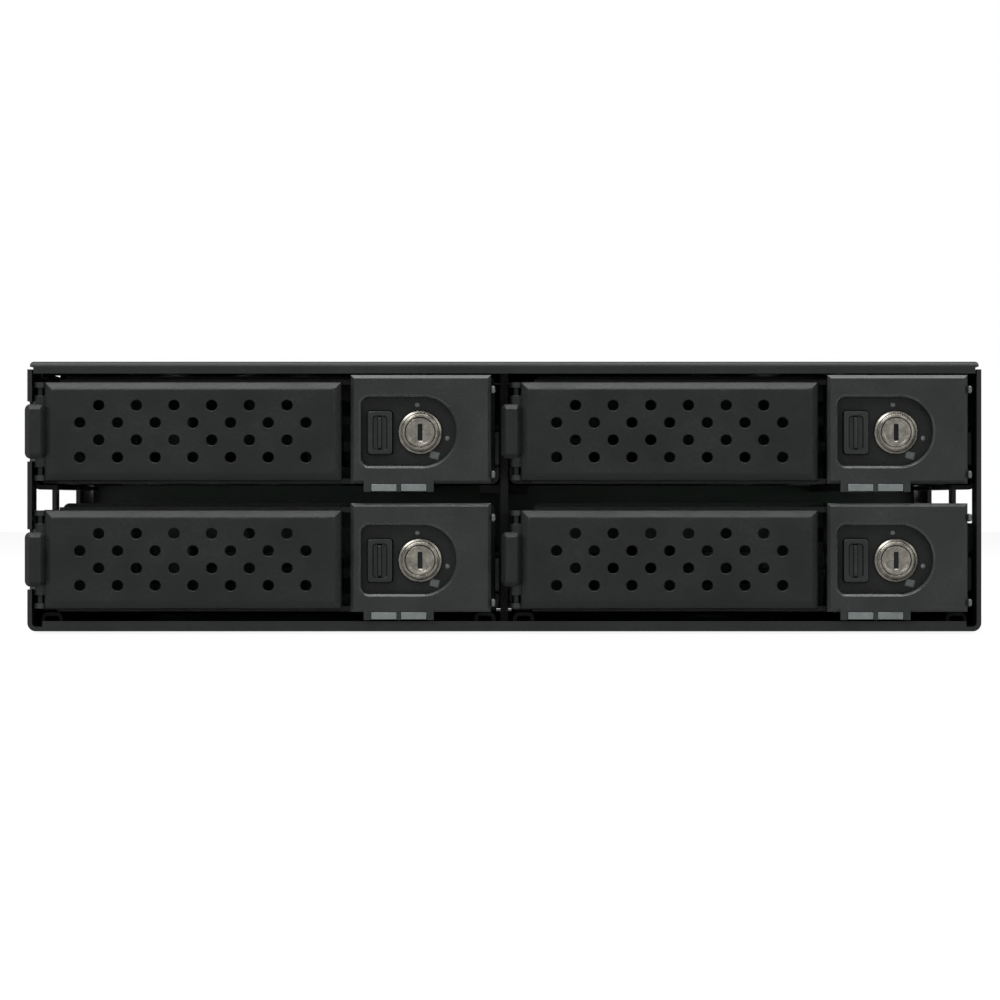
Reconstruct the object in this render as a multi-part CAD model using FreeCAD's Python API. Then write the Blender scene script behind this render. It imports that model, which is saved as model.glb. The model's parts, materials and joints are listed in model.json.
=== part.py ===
import FreeCAD, Part
import math
import os

# Hot swap drive cage for one half-height 5.25 inch bay: four trays for 2.5 inch drives, two by two.
# Millimetres. The origin is at the centre of the base, +Z is up and the front looks along -Y.
# A tray's own pieces are drawn about the middle of that tray's floor and then moved to its bay.

Vector = FreeCAD.Vector

# ---------------------------------------------------------------- the drive that a tray carries
DRIVE_WIDTH = 69.85
DRIVE_LENGTH = 100.2
DRIVE_SIDE_GAP = 0.125
DRIVE_END_GAP = 0.4
DRIVE_SCREW_ACROSS = 61.72
DRIVE_SCREW_ALONG = 76.6
DRIVE_SCREW_FROM_REAR = 14.0
DRIVE_SCREW_HOLE = 1.6

# ---------------------------------------------------------------- the cage's sheet metal
CHASSIS_SHEET = 0.7
COVER_SHEET = 0.8
REAR_SHEET = 0.8
CENTRE_SHEET = 1.2
BEND = 0.6
BEND_RELIEF = 0.8
WALL_TOP_GAP = 0.4
FRONT_EDGE_BACK = 0.8
COVER_INSET = 0.4
COVER_LIP = 1.85
COVER_LIP_ROUND = 0.9
FLOOR_LIP = 1.55
FLOOR_LIP_SHORT = 1.6
COVER_EDGE_ROUND = 0.55
SLOT_GAP = 0.1

# ---------------------------------------------------------------- depths, from the front to the back
BEZEL_DEPTH = 12.0
SOCKET_ENGAGEMENT = 3.4
SOCKET_DEPTH = 6.8
BOARD_THICKNESS = 1.6
HEADER_DEPTH = 9.0
CABLE_ROOM = 4.6
FAN_DEPTH = 10.0

DRIVE_FRONT = BEZEL_DEPTH + DRIVE_END_GAP
DRIVE_REAR = DRIVE_FRONT + DRIVE_LENGTH
SOCKET_FRONT = DRIVE_REAR - SOCKET_ENGAGEMENT
BOARD_FRONT = SOCKET_FRONT + SOCKET_DEPTH
BOARD_REAR = BOARD_FRONT + BOARD_THICKNESS
PANEL_FRONT = BOARD_REAR + HEADER_DEPTH + CABLE_ROOM
PANEL_REAR = PANEL_FRONT + REAR_SHEET
TOTAL_LENGTH = PANEL_REAR + FAN_DEPTH
FRONT = -TOTAL_LENGTH / 2


def deep(distance):
    """Place along Y of something that lies this far behind the tray faces."""
    return FRONT + distance


CAGE_FRONT = deep(FRONT_EDGE_BACK)
CAGE_REAR = deep(PANEL_REAR)
BEZEL_BACK = deep(BEZEL_DEPTH)

# ---------------------------------------------------------------- the two rows and two columns of bays
ROW_PITCH = 19.6
LOWER_TRAY_FLOOR = 3.0
RUN_GAP = 0.2
TRAY_SHEET = 0.6
TRAY_WALL_HEIGHT = 9.0
TRAY_REAR_SHORT = 0.6
TRAY_HALF = DRIVE_WIDTH / 2 + DRIVE_SIDE_GAP + TRAY_SHEET
HOUSING_HEIGHT = 16.6
COVER_ROOM = 1.3

CAGE_WIDTH = 4 * (TRAY_HALF + RUN_GAP) + CENTRE_SHEET + 2 * CHASSIS_SHEET
CAGE_HEIGHT = LOWER_TRAY_FLOOR + ROW_PITCH + HOUSING_HEIGHT + COVER_ROOM + COVER_SHEET
HALF_CAGE = CAGE_WIDTH / 2
WALL_INSIDE = HALF_CAGE - CHASSIS_SHEET
BAY_CENTRE = (WALL_INSIDE + CENTRE_SHEET / 2) / 2
BAY_HALF = (WALL_INSIDE - CENTRE_SHEET / 2) / 2
TRAY_REAR = deep(DRIVE_REAR - TRAY_REAR_SHORT)
COVER_UNDER = CAGE_HEIGHT - COVER_SHEET
TRAYS = {
    "upper_left": (-BAY_CENTRE, LOWER_TRAY_FLOOR + ROW_PITCH),
    "upper_right": (BAY_CENTRE, LOWER_TRAY_FLOOR + ROW_PITCH),
    "lower_left": (-BAY_CENTRE, LOWER_TRAY_FLOOR),
    "lower_right": (BAY_CENTRE, LOWER_TRAY_FLOOR),
}

# ---------------------------------------------------------------- the bay standard's screw holes
MOUNT_FROM_FRONT = 47.4
MOUNT_ALONG = 79.25
MOUNT_LOW = 9.91
MOUNT_HIGH = 21.84
MOUNT_ACROSS = 139.7
MOUNT_HOLE = 1.25
MOUNT_STATIONS = (CAGE_FRONT + MOUNT_FROM_FRONT, CAGE_FRONT + MOUNT_FROM_FRONT + MOUNT_ALONG)

# ---------------------------------------------------------------- the ledges that the trays run on
LEDGE_WIDTH = 3.2
LEDGE_TOP = LOWER_TRAY_FLOOR + ROW_PITCH - RUN_GAP
LEDGE_WINDOW_LOW = 16.5
LEDGE_FRONT = deep(9.2)
LEDGE_BRIDGE = 5.6
LEDGE_REAR = deep(93.0)
RAIL_WIDTH = 3.4
RAIL_SHEET = 0.7
RAIL_REAR = deep(110.0)

# ---------------------------------------------------------------- the swinging front lever
LEVER_LEFT = 1.7 - TRAY_HALF
LEVER_RIGHT = 11.6
LEVER_LOW = 0.4
LEVER_HIGH = HOUSING_HEIGHT - 1.0
LEVER_PLATE = 1.6
LEVER_BEVEL = 1.2
LEVER_BEVEL_DEPTH = 0.9
LEVER_RIM = 1.0
LEVER_RIM_DEPTH = 2.2
HOOK_THICKNESS = 1.2
TAIL_LENGTH = 3.0
TAIL_LOW = 3.8
TAIL_HIGH = 12.2
TAIL_THICKNESS = 1.2
TAIL_BEVEL = 0.8
TAIL_NOTCH_GAP = 0.4
TAIL_NOTCH_DEPTH = 4.3
HOLE_RADIUS = 0.82
HOLE_PITCH = 5.76
HOLE_ROW_PITCH = 2.65
HOLE_LONG_ROW = 7
HOLE_ROWS = 4
HOLE_MIDDLE = (LEVER_LEFT + LEVER_RIGHT) / 2
HOLE_FIELD_LOW = (LEVER_LOW + LEVER_HIGH - (HOLE_ROWS - 1) * HOLE_ROW_PITCH) / 2

PIN_X = 1.05 - TRAY_HALF
PIN_BACK = 1.7
PIN_RADIUS = 0.6
PIN_FIT = 0.05
KNUCKLE_RADIUS = 1.0
KNUCKLE_LOW = 2.5
KNUCKLE_HIGH = HOUSING_HEIGHT - 3.1
LUG_RADIUS = 1.05
LUG_LOW = 0.5
LUG_HIGH = HOUSING_HEIGHT - 1.1
LUG_THICKNESS = 0.8
LUG_CLEAR = 0.35

# ---------------------------------------------------------------- the latch housing beside the lever
HOUSING_GAP = 1.35
HOUSING_RIGHT = TRAY_HALF - 1.25
HOUSING_WALL = 1.3
HOUSING_CORNER = 0.5
BACK_PLATE = 1.5
HOUSING_LEFT = LEVER_RIGHT + HOUSING_GAP
SHOULDER_X = LEVER_LEFT + 2.1
SHOULDER_Z = HOUSING_HEIGHT - 3.2

RECESS_LEFT = 14.5
RECESS_RIGHT = 29.1
RECESS_LOW = 2.7
RECESS_HIGH = 13.3
RECESS_DEPTH = 2.4
RECESS_SMALL_ROUND = 1.4
RECESS_LARGE_ROUND = 5.2
RECESS_CHAMFER = 0.35
RECESS_FLOOR = 1.2

LOCK_X = 23.55
LOCK_Z = 7.85
LOCK_RADIUS = 3.4
LOCK_BODY_RADIUS = 3.0
LOCK_LENGTH = 7.4
LOCK_PROUD = 1.5
PLUG_RADIUS = 2.3
PLUG_FIT = 0.05
KEYWAY_WIDTH = 0.7
KEYWAY_HEIGHT = 2.6
KEYWAY_DEPTH = 2.0
CAM_LENGTH = 3.6
CAM_THICKNESS = 0.8

BUTTON_LEFT = 15.5
BUTTON_RIGHT = 19.3
BUTTON_LOW = 4.5
BUTTON_HIGH = 11.1
BUTTON_PROUD = 1.5
BUTTON_TRAVEL = 1.6
BUTTON_GAP = 0.15
CATCH_TRAVEL = 1.2
CATCH_THICKNESS = 1.2
CATCH_NOSE_SHORT = 1.0

TAB_LEFT = 14.95
TAB_RIGHT = 25.65
PIPE_HEIGHT = 1.2
PIPE_WIDTH = 4.0
PIPE_STARTS = (16.05, 20.6)
PIPE_BELOW = 0.05
PIPE_NARROW = 2.4

# ---------------------------------------------------------------- the board, its connectors and the fans
FAN_SIZE = 40.0
FAN_X = HALF_CAGE - 0.4 - FAN_SIZE / 2
FAN_SCREW_PITCH = FAN_SIZE - 8.0
FAN_DUCT = FAN_SIZE / 2 - 1.1
FAN_CORNER = 3.0
FAN_HUB = 10.6
FAN_BLADES = 7
FAN_TIP_GAP = 0.5
BLADE_ROOT_CHORD = 6.4
BLADE_BOW = 0.5
FAN_AXIS_Z = CAGE_HEIGHT / 2
FAN_SHAFT = 1.0
FAN_SHAFT_FIT = 0.05
FAN_COUNTERBORE = 1.5
CABLE_WINDOW_HALF = FAN_X - FAN_SIZE / 2 - 4.6
CABLE_WINDOW_LOW = 3.5
CABLE_WINDOW_HIGH = CAGE_HEIGHT - 7.3
SCREW_RADIUS = 1.2
SCREW_FIT = 0.05
COUNTERSINK = 0.85
HEAD_RADIUS = 2.1
HEAD_HEIGHT = 1.2


# ================================================================ drawing helpers
PLANES = {
    "xz": (lambda u, v, w: Vector(u, w, v), Vector(0, 1, 0)),
    "xy": (lambda u, v, w: Vector(u, v, w), Vector(0, 0, 1)),
    "yz": (lambda u, v, w: Vector(w, u, v), Vector(1, 0, 0)),
}


def rectangle(u0, u1, v0, v1, radius=0.0):
    """Corners of a rectangle, all with one radius."""
    return [(u0, v0, radius), (u1, v0, radius), (u1, v1, radius), (u0, v1, radius)]


def outline(plane, corners, station):
    """Closed wire through the corners (u, v, radius), with an arc in place of each rounded corner."""
    place = PLANES[plane][0]
    flat = [Vector(corner[0], corner[1], 0) for corner in corners]
    radii = [corner[2] if len(corner) > 2 else 0.0 for corner in corners]
    stops = []
    for index, corner in enumerate(flat):
        before = (flat[index - 1] - corner).normalize()
        after = (flat[(index + 1) % len(flat)] - corner).normalize()
        radius = radii[index]
        if radius <= 0:
            stops.append((corner, None, corner))
            continue
        half = before.getAngle(after) / 2
        reach = radius / math.tan(half)
        middle = (before + after).normalize() * (radius / math.sin(half) - radius)
        stops.append((corner + before * reach, corner + middle, corner + after * reach))
    edges = []
    for index, (start, middle, end) in enumerate(stops):
        if middle is not None:
            points = [place(point.x, point.y, station) for point in (start, middle, end)]
            edges.append(Part.Arc(*points).toShape())
        following = stops[(index + 1) % len(stops)][0]
        if (following - end).Length > 1e-6:
            line = Part.LineSegment(place(end.x, end.y, station), place(following.x, following.y, station))
            edges.append(line.toShape())
    return Part.Wire(edges)


def plate(plane, corners, start, end):
    """Solid between two stations along the plane's normal."""
    face = Part.Face(outline(plane, corners, start))
    return face.extrude(PLANES[plane][1] * (end - start))


def bevelled_plate(corners, inset, depth, front, back):
    """Plate facing -Y whose front face is drawn in by a bevel all round."""
    low_u = min(corner[0] for corner in corners)
    high_u = max(corner[0] for corner in corners)
    low_v = min(corner[1] for corner in corners)
    high_v = max(corner[1] for corner in corners)
    small = rectangle(low_u + inset, high_u - inset, low_v + inset, high_v - inset)
    full = rectangle(low_u, high_u, low_v, high_v)
    nose = Part.makeLoft([outline("xz", small, front), outline("xz", full, front + depth)], True, True)
    return nose.fuse(plate("xz", full, front + depth, back)).removeSplitter()


def sheet_section(path, thickness, bend):
    """Corners of a folded sheet's section: the middle line offset to both sides, with rounded bends."""
    sides = ([], [])
    for index, (u, v) in enumerate(path):
        here = Vector(u, v, 0)
        into = here - Vector(*path[index - 1], 0) if index > 0 else None
        out = Vector(*path[index + 1], 0) - here if index + 1 < len(path) else None
        into = (into or out).normalize()
        out = out.normalize() if out is not None else into
        left_in = Vector(-into.y, into.x, 0)
        left_out = Vector(-out.y, out.x, 0)
        mitre = (left_in + left_out).normalize()
        reach = thickness / 2 / mitre.dot(left_in)
        turn = into.cross(out).z
        inner_side = 0 if turn > 1e-9 else 1
        for side, sign in ((0, 1.0), (1, -1.0)):
            point = here + mitre * (sign * reach)
            radius = 0.0
            if abs(turn) > 1e-9:
                radius = bend if side == inner_side else bend + thickness
            sides[side].append((point.x, point.y, radius))
    return sides[0] + sides[1][::-1]


def folded(plane, path, thickness, start, end, bend=BEND):
    """Folded sheet: its middle line in the plane, carried from one station to another."""
    return plate(plane, sheet_section(path, thickness, bend), start, end)


def rod(radius, centre, direction, length):
    """Round bar from a centre along a direction."""
    return Part.makeCylinder(radius, length, centre, direction)


def spun(profile, centre, axis):
    """Solid of revolution: the profile holds (distance along the axis, radius) pairs."""
    side = Vector(1, 0, 0) if abs(axis.x) < 0.5 else Vector(0, 1, 0)
    points = [centre + axis * along + side * radius for along, radius in profile]
    face = Part.Face(Part.makePolygon(points + [points[0]]))
    return face.revolve(centre, axis, 360)


def joined(shapes):
    """One solid from touching or overlapping shapes."""
    first, rest = shapes[0], shapes[1:]
    return first.fuse(rest).removeSplitter() if rest else first


def mirrored(shape):
    """The shape on the other side of the middle plane."""
    return shape.mirror(Vector(0, 0, 0), Vector(1, 0, 0))


def both_sides(shape):
    """The shape and its mirror image."""
    return [shape, mirrored(shape)]


def in_bay(shape, name):
    """A tray's piece moved from its own frame to its bay."""
    centre_x, floor_z = TRAYS[name]
    moved = shape.copy()
    moved.translate(Vector(centre_x, 0, floor_z))
    return moved


# ================================================================ the pieces of one tray
PIN_Y = deep(PIN_BACK)
RECESS_BACK = deep(RECESS_DEPTH)
FLOOR_BACK = deep(RECESS_DEPTH + RECESS_FLOOR)
BACK_PLATE_FRONT = deep(BEZEL_DEPTH - BACK_PLATE)
RAMP_SLOPE = BUTTON_TRAVEL / CATCH_TRAVEL
STEM_LEFT = BUTTON_LEFT + 0.8
STEM_RIGHT = BUTTON_RIGHT - 0.8
STEM_LOW = BUTTON_LOW + 2.2
STEM_HIGH = BUTTON_HIGH - 1.6
STEM_END = deep(8.35)
CATCH_LOW = STEM_LOW - CATCH_THICKNESS - 0.3
CATCH_FRONT = deep(6.3)
CATCH_REAR = deep(9.9)
CATCH_RIGHT = LOCK_X - LOCK_BODY_RADIUS - CATCH_TRAVEL - 0.15
CATCH_ARM = 2.0
FOLLOWER_GAP = 0.12


def make_tray_frame():
    """Folded steel tray: floor, two walls, two ears that clip into the bezel, four drive screw holes."""
    middle = TRAY_HALF - TRAY_SHEET / 2
    low = TRAY_SHEET / 2
    path = [(-middle, TRAY_WALL_HEIGHT), (-middle, low), (middle, low), (middle, TRAY_WALL_HEIGHT)]
    tray = folded("xz", path, TRAY_SHEET, BEZEL_BACK, TRAY_REAR)
    ear = plate("yz", rectangle(BEZEL_BACK - 4.5, BEZEL_BACK + 2, 2.6, 8.4, 0.8), TRAY_HALF - TRAY_SHEET, TRAY_HALF)
    tray = joined([tray] + both_sides(ear))
    screw_rear = deep(DRIVE_REAR - DRIVE_SCREW_FROM_REAR)
    cuts = []
    for x in (-DRIVE_SCREW_ACROSS / 2, DRIVE_SCREW_ACROSS / 2):
        for y in (screw_rear, screw_rear - DRIVE_SCREW_ALONG):
            cuts.append(rod(DRIVE_SCREW_HOLE, Vector(x, y, -1), Vector(0, 0, 1), 3))
    for start, end in ((deep(28), deep(56)), (deep(62), deep(92))):
        cuts.append(plate("xy", rectangle(-24, 10, start, end, 5), -1, 2))
    for start in (deep(40), deep(64), deep(88)):
        for side in (-TRAY_HALF - 1, TRAY_HALF - TRAY_SHEET - 1):
            cuts.append(plate("yz", rectangle(start, start + 14, 4.6, 7, 1.15), side, side + 3))
    return tray.cut(cuts)


def recess_corners(grow=0.0):
    """The D-shaped recess: small rounds on the left, large ones on the right."""
    left, right = RECESS_LEFT - grow, RECESS_RIGHT + grow
    low, high = RECESS_LOW - grow, RECESS_HIGH + grow
    small, large = RECESS_SMALL_ROUND + grow, RECESS_LARGE_ROUND + grow
    return [(left, low, small), (right, low, large), (right, high, large), (left, high, small)]


def make_tray_bezel():
    """Moulded front: back plate with air slots, hollow latch housing, hinge lugs and lamp apron."""
    half = TRAY_HALF - TRAY_SHEET - RUN_GAP / 2
    back = [(-half, 0), (half, 0), (half, HOUSING_HEIGHT, 1.0), (SHOULDER_X, HOUSING_HEIGHT, 1.0)]
    back += [(SHOULDER_X, SHOULDER_Z), (-half, SHOULDER_Z, 0.6)]
    back_plate = plate("xz", back, BACK_PLATE_FRONT, BEZEL_BACK)
    housing = bevelled_plate(rectangle(HOUSING_LEFT, HOUSING_RIGHT, 0, HOUSING_HEIGHT),
                             HOUSING_CORNER, HOUSING_CORNER, FRONT, BACK_PLATE_FRONT)
    hollow = plate("xz", rectangle(HOUSING_LEFT + HOUSING_WALL, HOUSING_RIGHT - HOUSING_WALL,
                                   HOUSING_WALL, HOUSING_HEIGHT - HOUSING_WALL), FLOOR_BACK, BACK_PLATE_FRONT)
    sill = plate("xz", rectangle(LUG_RIGHT, HOUSING_LEFT, 0, LUG_THICKNESS), deep(3.9), BACK_PLATE_FRONT)
    lintel_low = LEVER_HIGH - 0.4
    lintel = plate("xz", rectangle(SHOULDER_X, HOUSING_LEFT, lintel_low, lintel_low + LUG_THICKNESS),
                   deep(3.9), BACK_PLATE_FRONT)
    shelf = plate("xy", rectangle(HOUSING_LEFT + HOUSING_WALL, HOUSING_RIGHT - HOUSING_WALL,
                                  deep(9.2), BACK_PLATE_FRONT), CATCH_LOW - 1.3, CATCH_LOW - 0.1)
    apron = plate("xz", rectangle(TAB_LEFT, TAB_RIGHT, -PIPE_HEIGHT - PIPE_BELOW, 0.6), FRONT, deep(3.0))
    pieces = [back_plate, housing.cut(hollow), sill, lintel, shelf, apron]
    for low, high in ((0.8, 2.0), (13.8, 15.0)):
        pieces.append(plate("xz", rectangle(HOUSING_RIGHT - 0.1, half, low, high, 0.2), FRONT + 0.6, deep(6.0)))
    for low in (LUG_LOW, LUG_HIGH - LUG_THICKNESS):
        pieces.append(make_hinge_lug(low))
    bezel = joined(pieces)
    cuts = [plate("xz", recess_corners(), FRONT - 1, RECESS_BACK)]
    mouth = [outline("xz", recess_corners(grow), FRONT + RECESS_CHAMFER - grow) for grow in (2 * RECESS_CHAMFER, 0)]
    cuts.append(Part.makeLoft(mouth, True, True))
    cuts.append(rod(LOCK_BODY_RADIUS, Vector(LOCK_X, RECESS_BACK - 1, LOCK_Z), Vector(0, 1, 0), 6))
    button = rectangle(BUTTON_LEFT - BUTTON_GAP, BUTTON_RIGHT + BUTTON_GAP,
                       BUTTON_LOW - BUTTON_GAP, BUTTON_HIGH + BUTTON_GAP, 0.6)
    cuts.append(plate("xz", button, RECESS_BACK - 1, FLOOR_BACK + 1))
    slot = rectangle(CATCH_FRONT - 0.2, CATCH_FRONT + CATCH_ARM + 0.2,
                     CATCH_LOW - 0.1, CATCH_LOW + CATCH_THICKNESS + 0.1)
    cuts.append(plate("yz", slot, HOUSING_LEFT - 1, HOUSING_LEFT + HOUSING_WALL + 1))
    for start in PIPE_STARTS:
        cuts.append(plate("xz", rectangle(start, start + PIPE_WIDTH, -3, 0), FRONT - 1, deep(4)))
    for low in (2.6, 6.6, 10.4):
        for start in range(-28, 9, 9):
            slot = rectangle(start, start + 7, low, low + 2.4, 1.15)
            cuts.append(plate("xz", slot, BACK_PLATE_FRONT - 1, BEZEL_BACK + 1))
    cuts.append(rod(PIN_RADIUS, Vector(PIN_X, PIN_Y, LUG_LOW - 1), Vector(0, 0, 1), LUG_HIGH - LUG_LOW + 2))
    return bezel.cut(cuts)


LUG_RIGHT = PIN_X + LUG_RADIUS + 1.4


def make_hinge_lug(low):
    """One ear that holds the hinge pin: a round nose that widens back to the plate."""
    left = PIN_X - LUG_RADIUS
    nose = plate("xy", [(left, PIN_Y), (PIN_X + LUG_RADIUS, PIN_Y), (LUG_RIGHT, PIN_Y + 2.2),
                        (LUG_RIGHT + 1.6, BACK_PLATE_FRONT + 0.2), (left, BACK_PLATE_FRONT + 0.2)],
                 low, low + LUG_THICKNESS)
    return nose.fuse(rod(LUG_RADIUS, Vector(PIN_X, PIN_Y, low), Vector(0, 0, 1), LUG_THICKNESS))


def air_hole_places():
    """Centres of the lever's air holes: rows of seven and six by turns, half a pitch apart."""
    places = []
    for row in range(HOLE_ROWS):
        count = HOLE_LONG_ROW - row % 2
        for index in range(count):
            x = HOLE_MIDDLE + (index - (count - 1) / 2) * HOLE_PITCH
            places.append((x, HOLE_FIELD_LOW + row * HOLE_ROW_PITCH))
    return places


def make_lever():
    """Swinging front: bevelled plate with air holes, stiffening rims, knuckle, tail and hook."""
    plate_back = deep(LEVER_PLATE)
    rim_back = deep(LEVER_PLATE + LEVER_RIM_DEPTH)
    face = bevelled_plate(rectangle(LEVER_LEFT, LEVER_RIGHT, LEVER_LOW, LEVER_HIGH),
                          LEVER_BEVEL, LEVER_BEVEL_DEPTH, FRONT, plate_back)
    rim_left = LUG_RIGHT + 2.2
    pieces = [face]
    for low in (LEVER_LOW + 0.7, LEVER_HIGH - LEVER_RIM - 0.7):
        pieces.append(plate("xz", rectangle(rim_left, LEVER_RIGHT, low, low + LEVER_RIM), plate_back, rim_back))
    knuckle = rod(KNUCKLE_RADIUS, Vector(PIN_X, PIN_Y, KNUCKLE_LOW), Vector(0, 0, 1), KNUCKLE_HIGH - KNUCKLE_LOW)
    web = plate("xz", rectangle(PIN_X, LEVER_LEFT + 1.5, KNUCKLE_LOW, KNUCKLE_HIGH), deep(0.9), plate_back)
    tail = bevelled_plate(rectangle(LEVER_LEFT - TAIL_LENGTH, LEVER_LEFT + 0.2, TAIL_LOW, TAIL_HIGH),
                          TAIL_BEVEL, TAIL_BEVEL, FRONT, deep(TAIL_THICKNESS))
    hook_side = rectangle(plate_back, CATCH_REAR - 0.6, CATCH_LOW - 1.0, CATCH_LOW + CATCH_THICKNESS + 1.0)
    hook = plate("yz", hook_side, LEVER_RIGHT - HOOK_THICKNESS, LEVER_RIGHT)
    eye = plate("yz", rectangle(CATCH_FRONT - 0.2, CATCH_FRONT + CATCH_ARM + 0.2, CATCH_LOW - 0.2,
                                CATCH_LOW + CATCH_THICKNESS + 0.2), LEVER_RIGHT - HOOK_THICKNESS - 1, LEVER_RIGHT + 1)
    hook = hook.cut(eye)
    lever = joined(pieces + [knuckle, web, tail, hook])
    cuts = [rod(PIN_RADIUS + PIN_FIT, Vector(PIN_X, PIN_Y, 0), Vector(0, 0, 1), HOUSING_HEIGHT)]
    lug_room = LUG_THICKNESS + LUG_CLEAR
    for low, high in ((-1, LUG_LOW + lug_room), (LUG_HIGH - lug_room, HOUSING_HEIGHT + 1)):
        cuts.append(rod(LUG_RADIUS + LUG_CLEAR, Vector(PIN_X, PIN_Y, low), Vector(0, 0, 1), high - low))
    for x, z in air_hole_places():
        turns = [turn * math.pi / 3 for turn in range(6)]
        hexagon = [(x + HOLE_RADIUS * math.sin(turn), z + HOLE_RADIUS * math.cos(turn)) for turn in turns]
        cuts.append(plate("xz", hexagon, FRONT - 1, plate_back + 0.5))
    return lever.cut(cuts)


def make_lever_pin():
    """Steel hinge pin with chamfered ends."""
    chamfer = 0.15
    length = LUG_HIGH - LUG_LOW
    profile = [(0, 0), (0, PIN_RADIUS - chamfer), (chamfer, PIN_RADIUS),
               (length - chamfer, PIN_RADIUS), (length, PIN_RADIUS - chamfer), (length, 0)]
    return spun(profile, Vector(PIN_X, PIN_Y, LUG_LOW), Vector(0, 0, 1))


def make_lever_spring():
    """Bowed leaf riveted to the back plate; it pushes the freed lever out."""
    back = BACK_PLATE_FRONT - 0.15
    path = [(-27.5, back), (-20.5, back), (-12.5, deep(1.95)), (-10.5, deep(2.9))]
    middle = (LEVER_LOW + LEVER_HIGH) / 2
    leaf = folded("xy", path, 0.3, middle - 2.2, middle + 2.2, 0.8)
    for x in (-25.4, -22.6):
        head = spun([(0, 0), (0, 0.9), (-0.35, 0.75), (-0.6, 0.3), (-0.6, 0)],
                    Vector(x, back - 0.15, middle), Vector(0, 1, 0))
        leaf = leaf.fuse(head)
    return leaf


def make_latch_button():
    """Push pad with a hollow in its face, a retaining flange behind the recess floor and a ramped stem."""
    pad_front = RECESS_BACK - BUTTON_PROUD
    corners = rectangle(BUTTON_LEFT, BUTTON_RIGHT, BUTTON_LOW, BUTTON_HIGH, 0.5)
    pad = plate("xz", corners, pad_front, FLOOR_BACK + 0.3)
    hollow = plate("xz", rectangle(BUTTON_LEFT + 0.9, BUTTON_RIGHT - 0.9, BUTTON_LOW + 1.3, BUTTON_HIGH - 1.3, 0.4),
                   pad_front - 1, pad_front + 0.6)
    flange = plate("xz", rectangle(BUTTON_LEFT - 0.45, BUTTON_RIGHT, BUTTON_LOW - 0.8, BUTTON_HIGH + 0.8, 0.4),
                   FLOOR_BACK + 0.05, FLOOR_BACK + 0.85)
    rise = (STEM_RIGHT - STEM_LEFT - 0.4) * RAMP_SLOPE
    stem = plate("xy", [(STEM_LEFT, FLOOR_BACK), (STEM_RIGHT, FLOOR_BACK), (STEM_RIGHT, STEM_END - rise),
                        (STEM_LEFT + 0.4, STEM_END), (STEM_LEFT, STEM_END)], STEM_LOW, STEM_HIGH)
    return joined([pad.cut(hollow), flange, stem])


def make_latch_catch():
    """Sliding catch: an arm under the button's stem with a nose towards the lever and a ramped follower."""
    rise = (STEM_RIGHT - STEM_LEFT - 0.4) * RAMP_SLOPE
    nose = LEVER_RIGHT + CATCH_NOSE_SHORT
    arm_back = CATCH_FRONT + CATCH_ARM
    heel = STEM_LEFT - 1.2
    tongue = plate("xy", [(nose, CATCH_FRONT + 0.9, 0.2), (nose + 0.9, CATCH_FRONT), (CATCH_RIGHT, CATCH_FRONT),
                          (CATCH_RIGHT, CATCH_REAR), (heel, CATCH_REAR, 0.5), (heel, arm_back),
                          (nose, arm_back, 0.2)], CATCH_LOW, CATCH_LOW + CATCH_THICKNESS)
    shift = FOLLOWER_GAP * math.hypot(1, RAMP_SLOPE)
    follower = plate("xy", [(STEM_LEFT + 0.4, STEM_END + shift), (STEM_RIGHT, STEM_END + shift - rise),
                            (CATCH_RIGHT, STEM_END + shift - rise), (CATCH_RIGHT, CATCH_REAR),
                            (STEM_LEFT + 0.4, CATCH_REAR)], CATCH_LOW, STEM_HIGH)
    return joined([tongue, follower])


def make_lock_barrel():
    """Cam lock's fixed barrel: a stepped front ring on a threaded body, with the plug's bore."""
    front = RECESS_BACK - LOCK_PROUD
    bore = PLUG_RADIUS + PLUG_FIT
    profile = [(0, bore), (0, LOCK_RADIUS - 0.7), (0.25, LOCK_RADIUS - 0.45), (0.5, LOCK_RADIUS - 0.45),
               (0.75, LOCK_RADIUS), (LOCK_PROUD, LOCK_RADIUS), (LOCK_PROUD, LOCK_BODY_RADIUS),
               (LOCK_LENGTH, LOCK_BODY_RADIUS), (LOCK_LENGTH, bore)]
    return spun(profile, Vector(LOCK_X, front, LOCK_Z), Vector(0, 1, 0))


def make_lock_plug():
    """Turning plug with a keyway in its face and a short cam on its tail."""
    front = RECESS_BACK - LOCK_PROUD
    axis = Vector(0, 1, 0)
    body = spun([(0.15, 0), (0.15, PLUG_RADIUS - 0.2), (0.35, PLUG_RADIUS), (LOCK_LENGTH, PLUG_RADIUS),
                 (LOCK_LENGTH, 1.2), (LOCK_LENGTH + 0.9, 1.2), (LOCK_LENGTH + 0.9, 0)],
                Vector(LOCK_X, front, LOCK_Z), axis)
    keyway = plate("xz", rectangle(LOCK_X - KEYWAY_WIDTH / 2, LOCK_X + KEYWAY_WIDTH / 2, LOCK_Z - KEYWAY_HEIGHT / 2,
                                   LOCK_Z + KEYWAY_HEIGHT / 2, 0.2), front - 1, front + KEYWAY_DEPTH)
    cam = plate("xz", rectangle(LOCK_X - 1.2, LOCK_X + 1.2, LOCK_Z - 1.2, LOCK_Z + CAM_LENGTH, 0.6),
                front + LOCK_LENGTH + 0.05, front + LOCK_LENGTH + 0.05 + CAM_THICKNESS)
    return joined([body.cut(keyway), cam])


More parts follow.
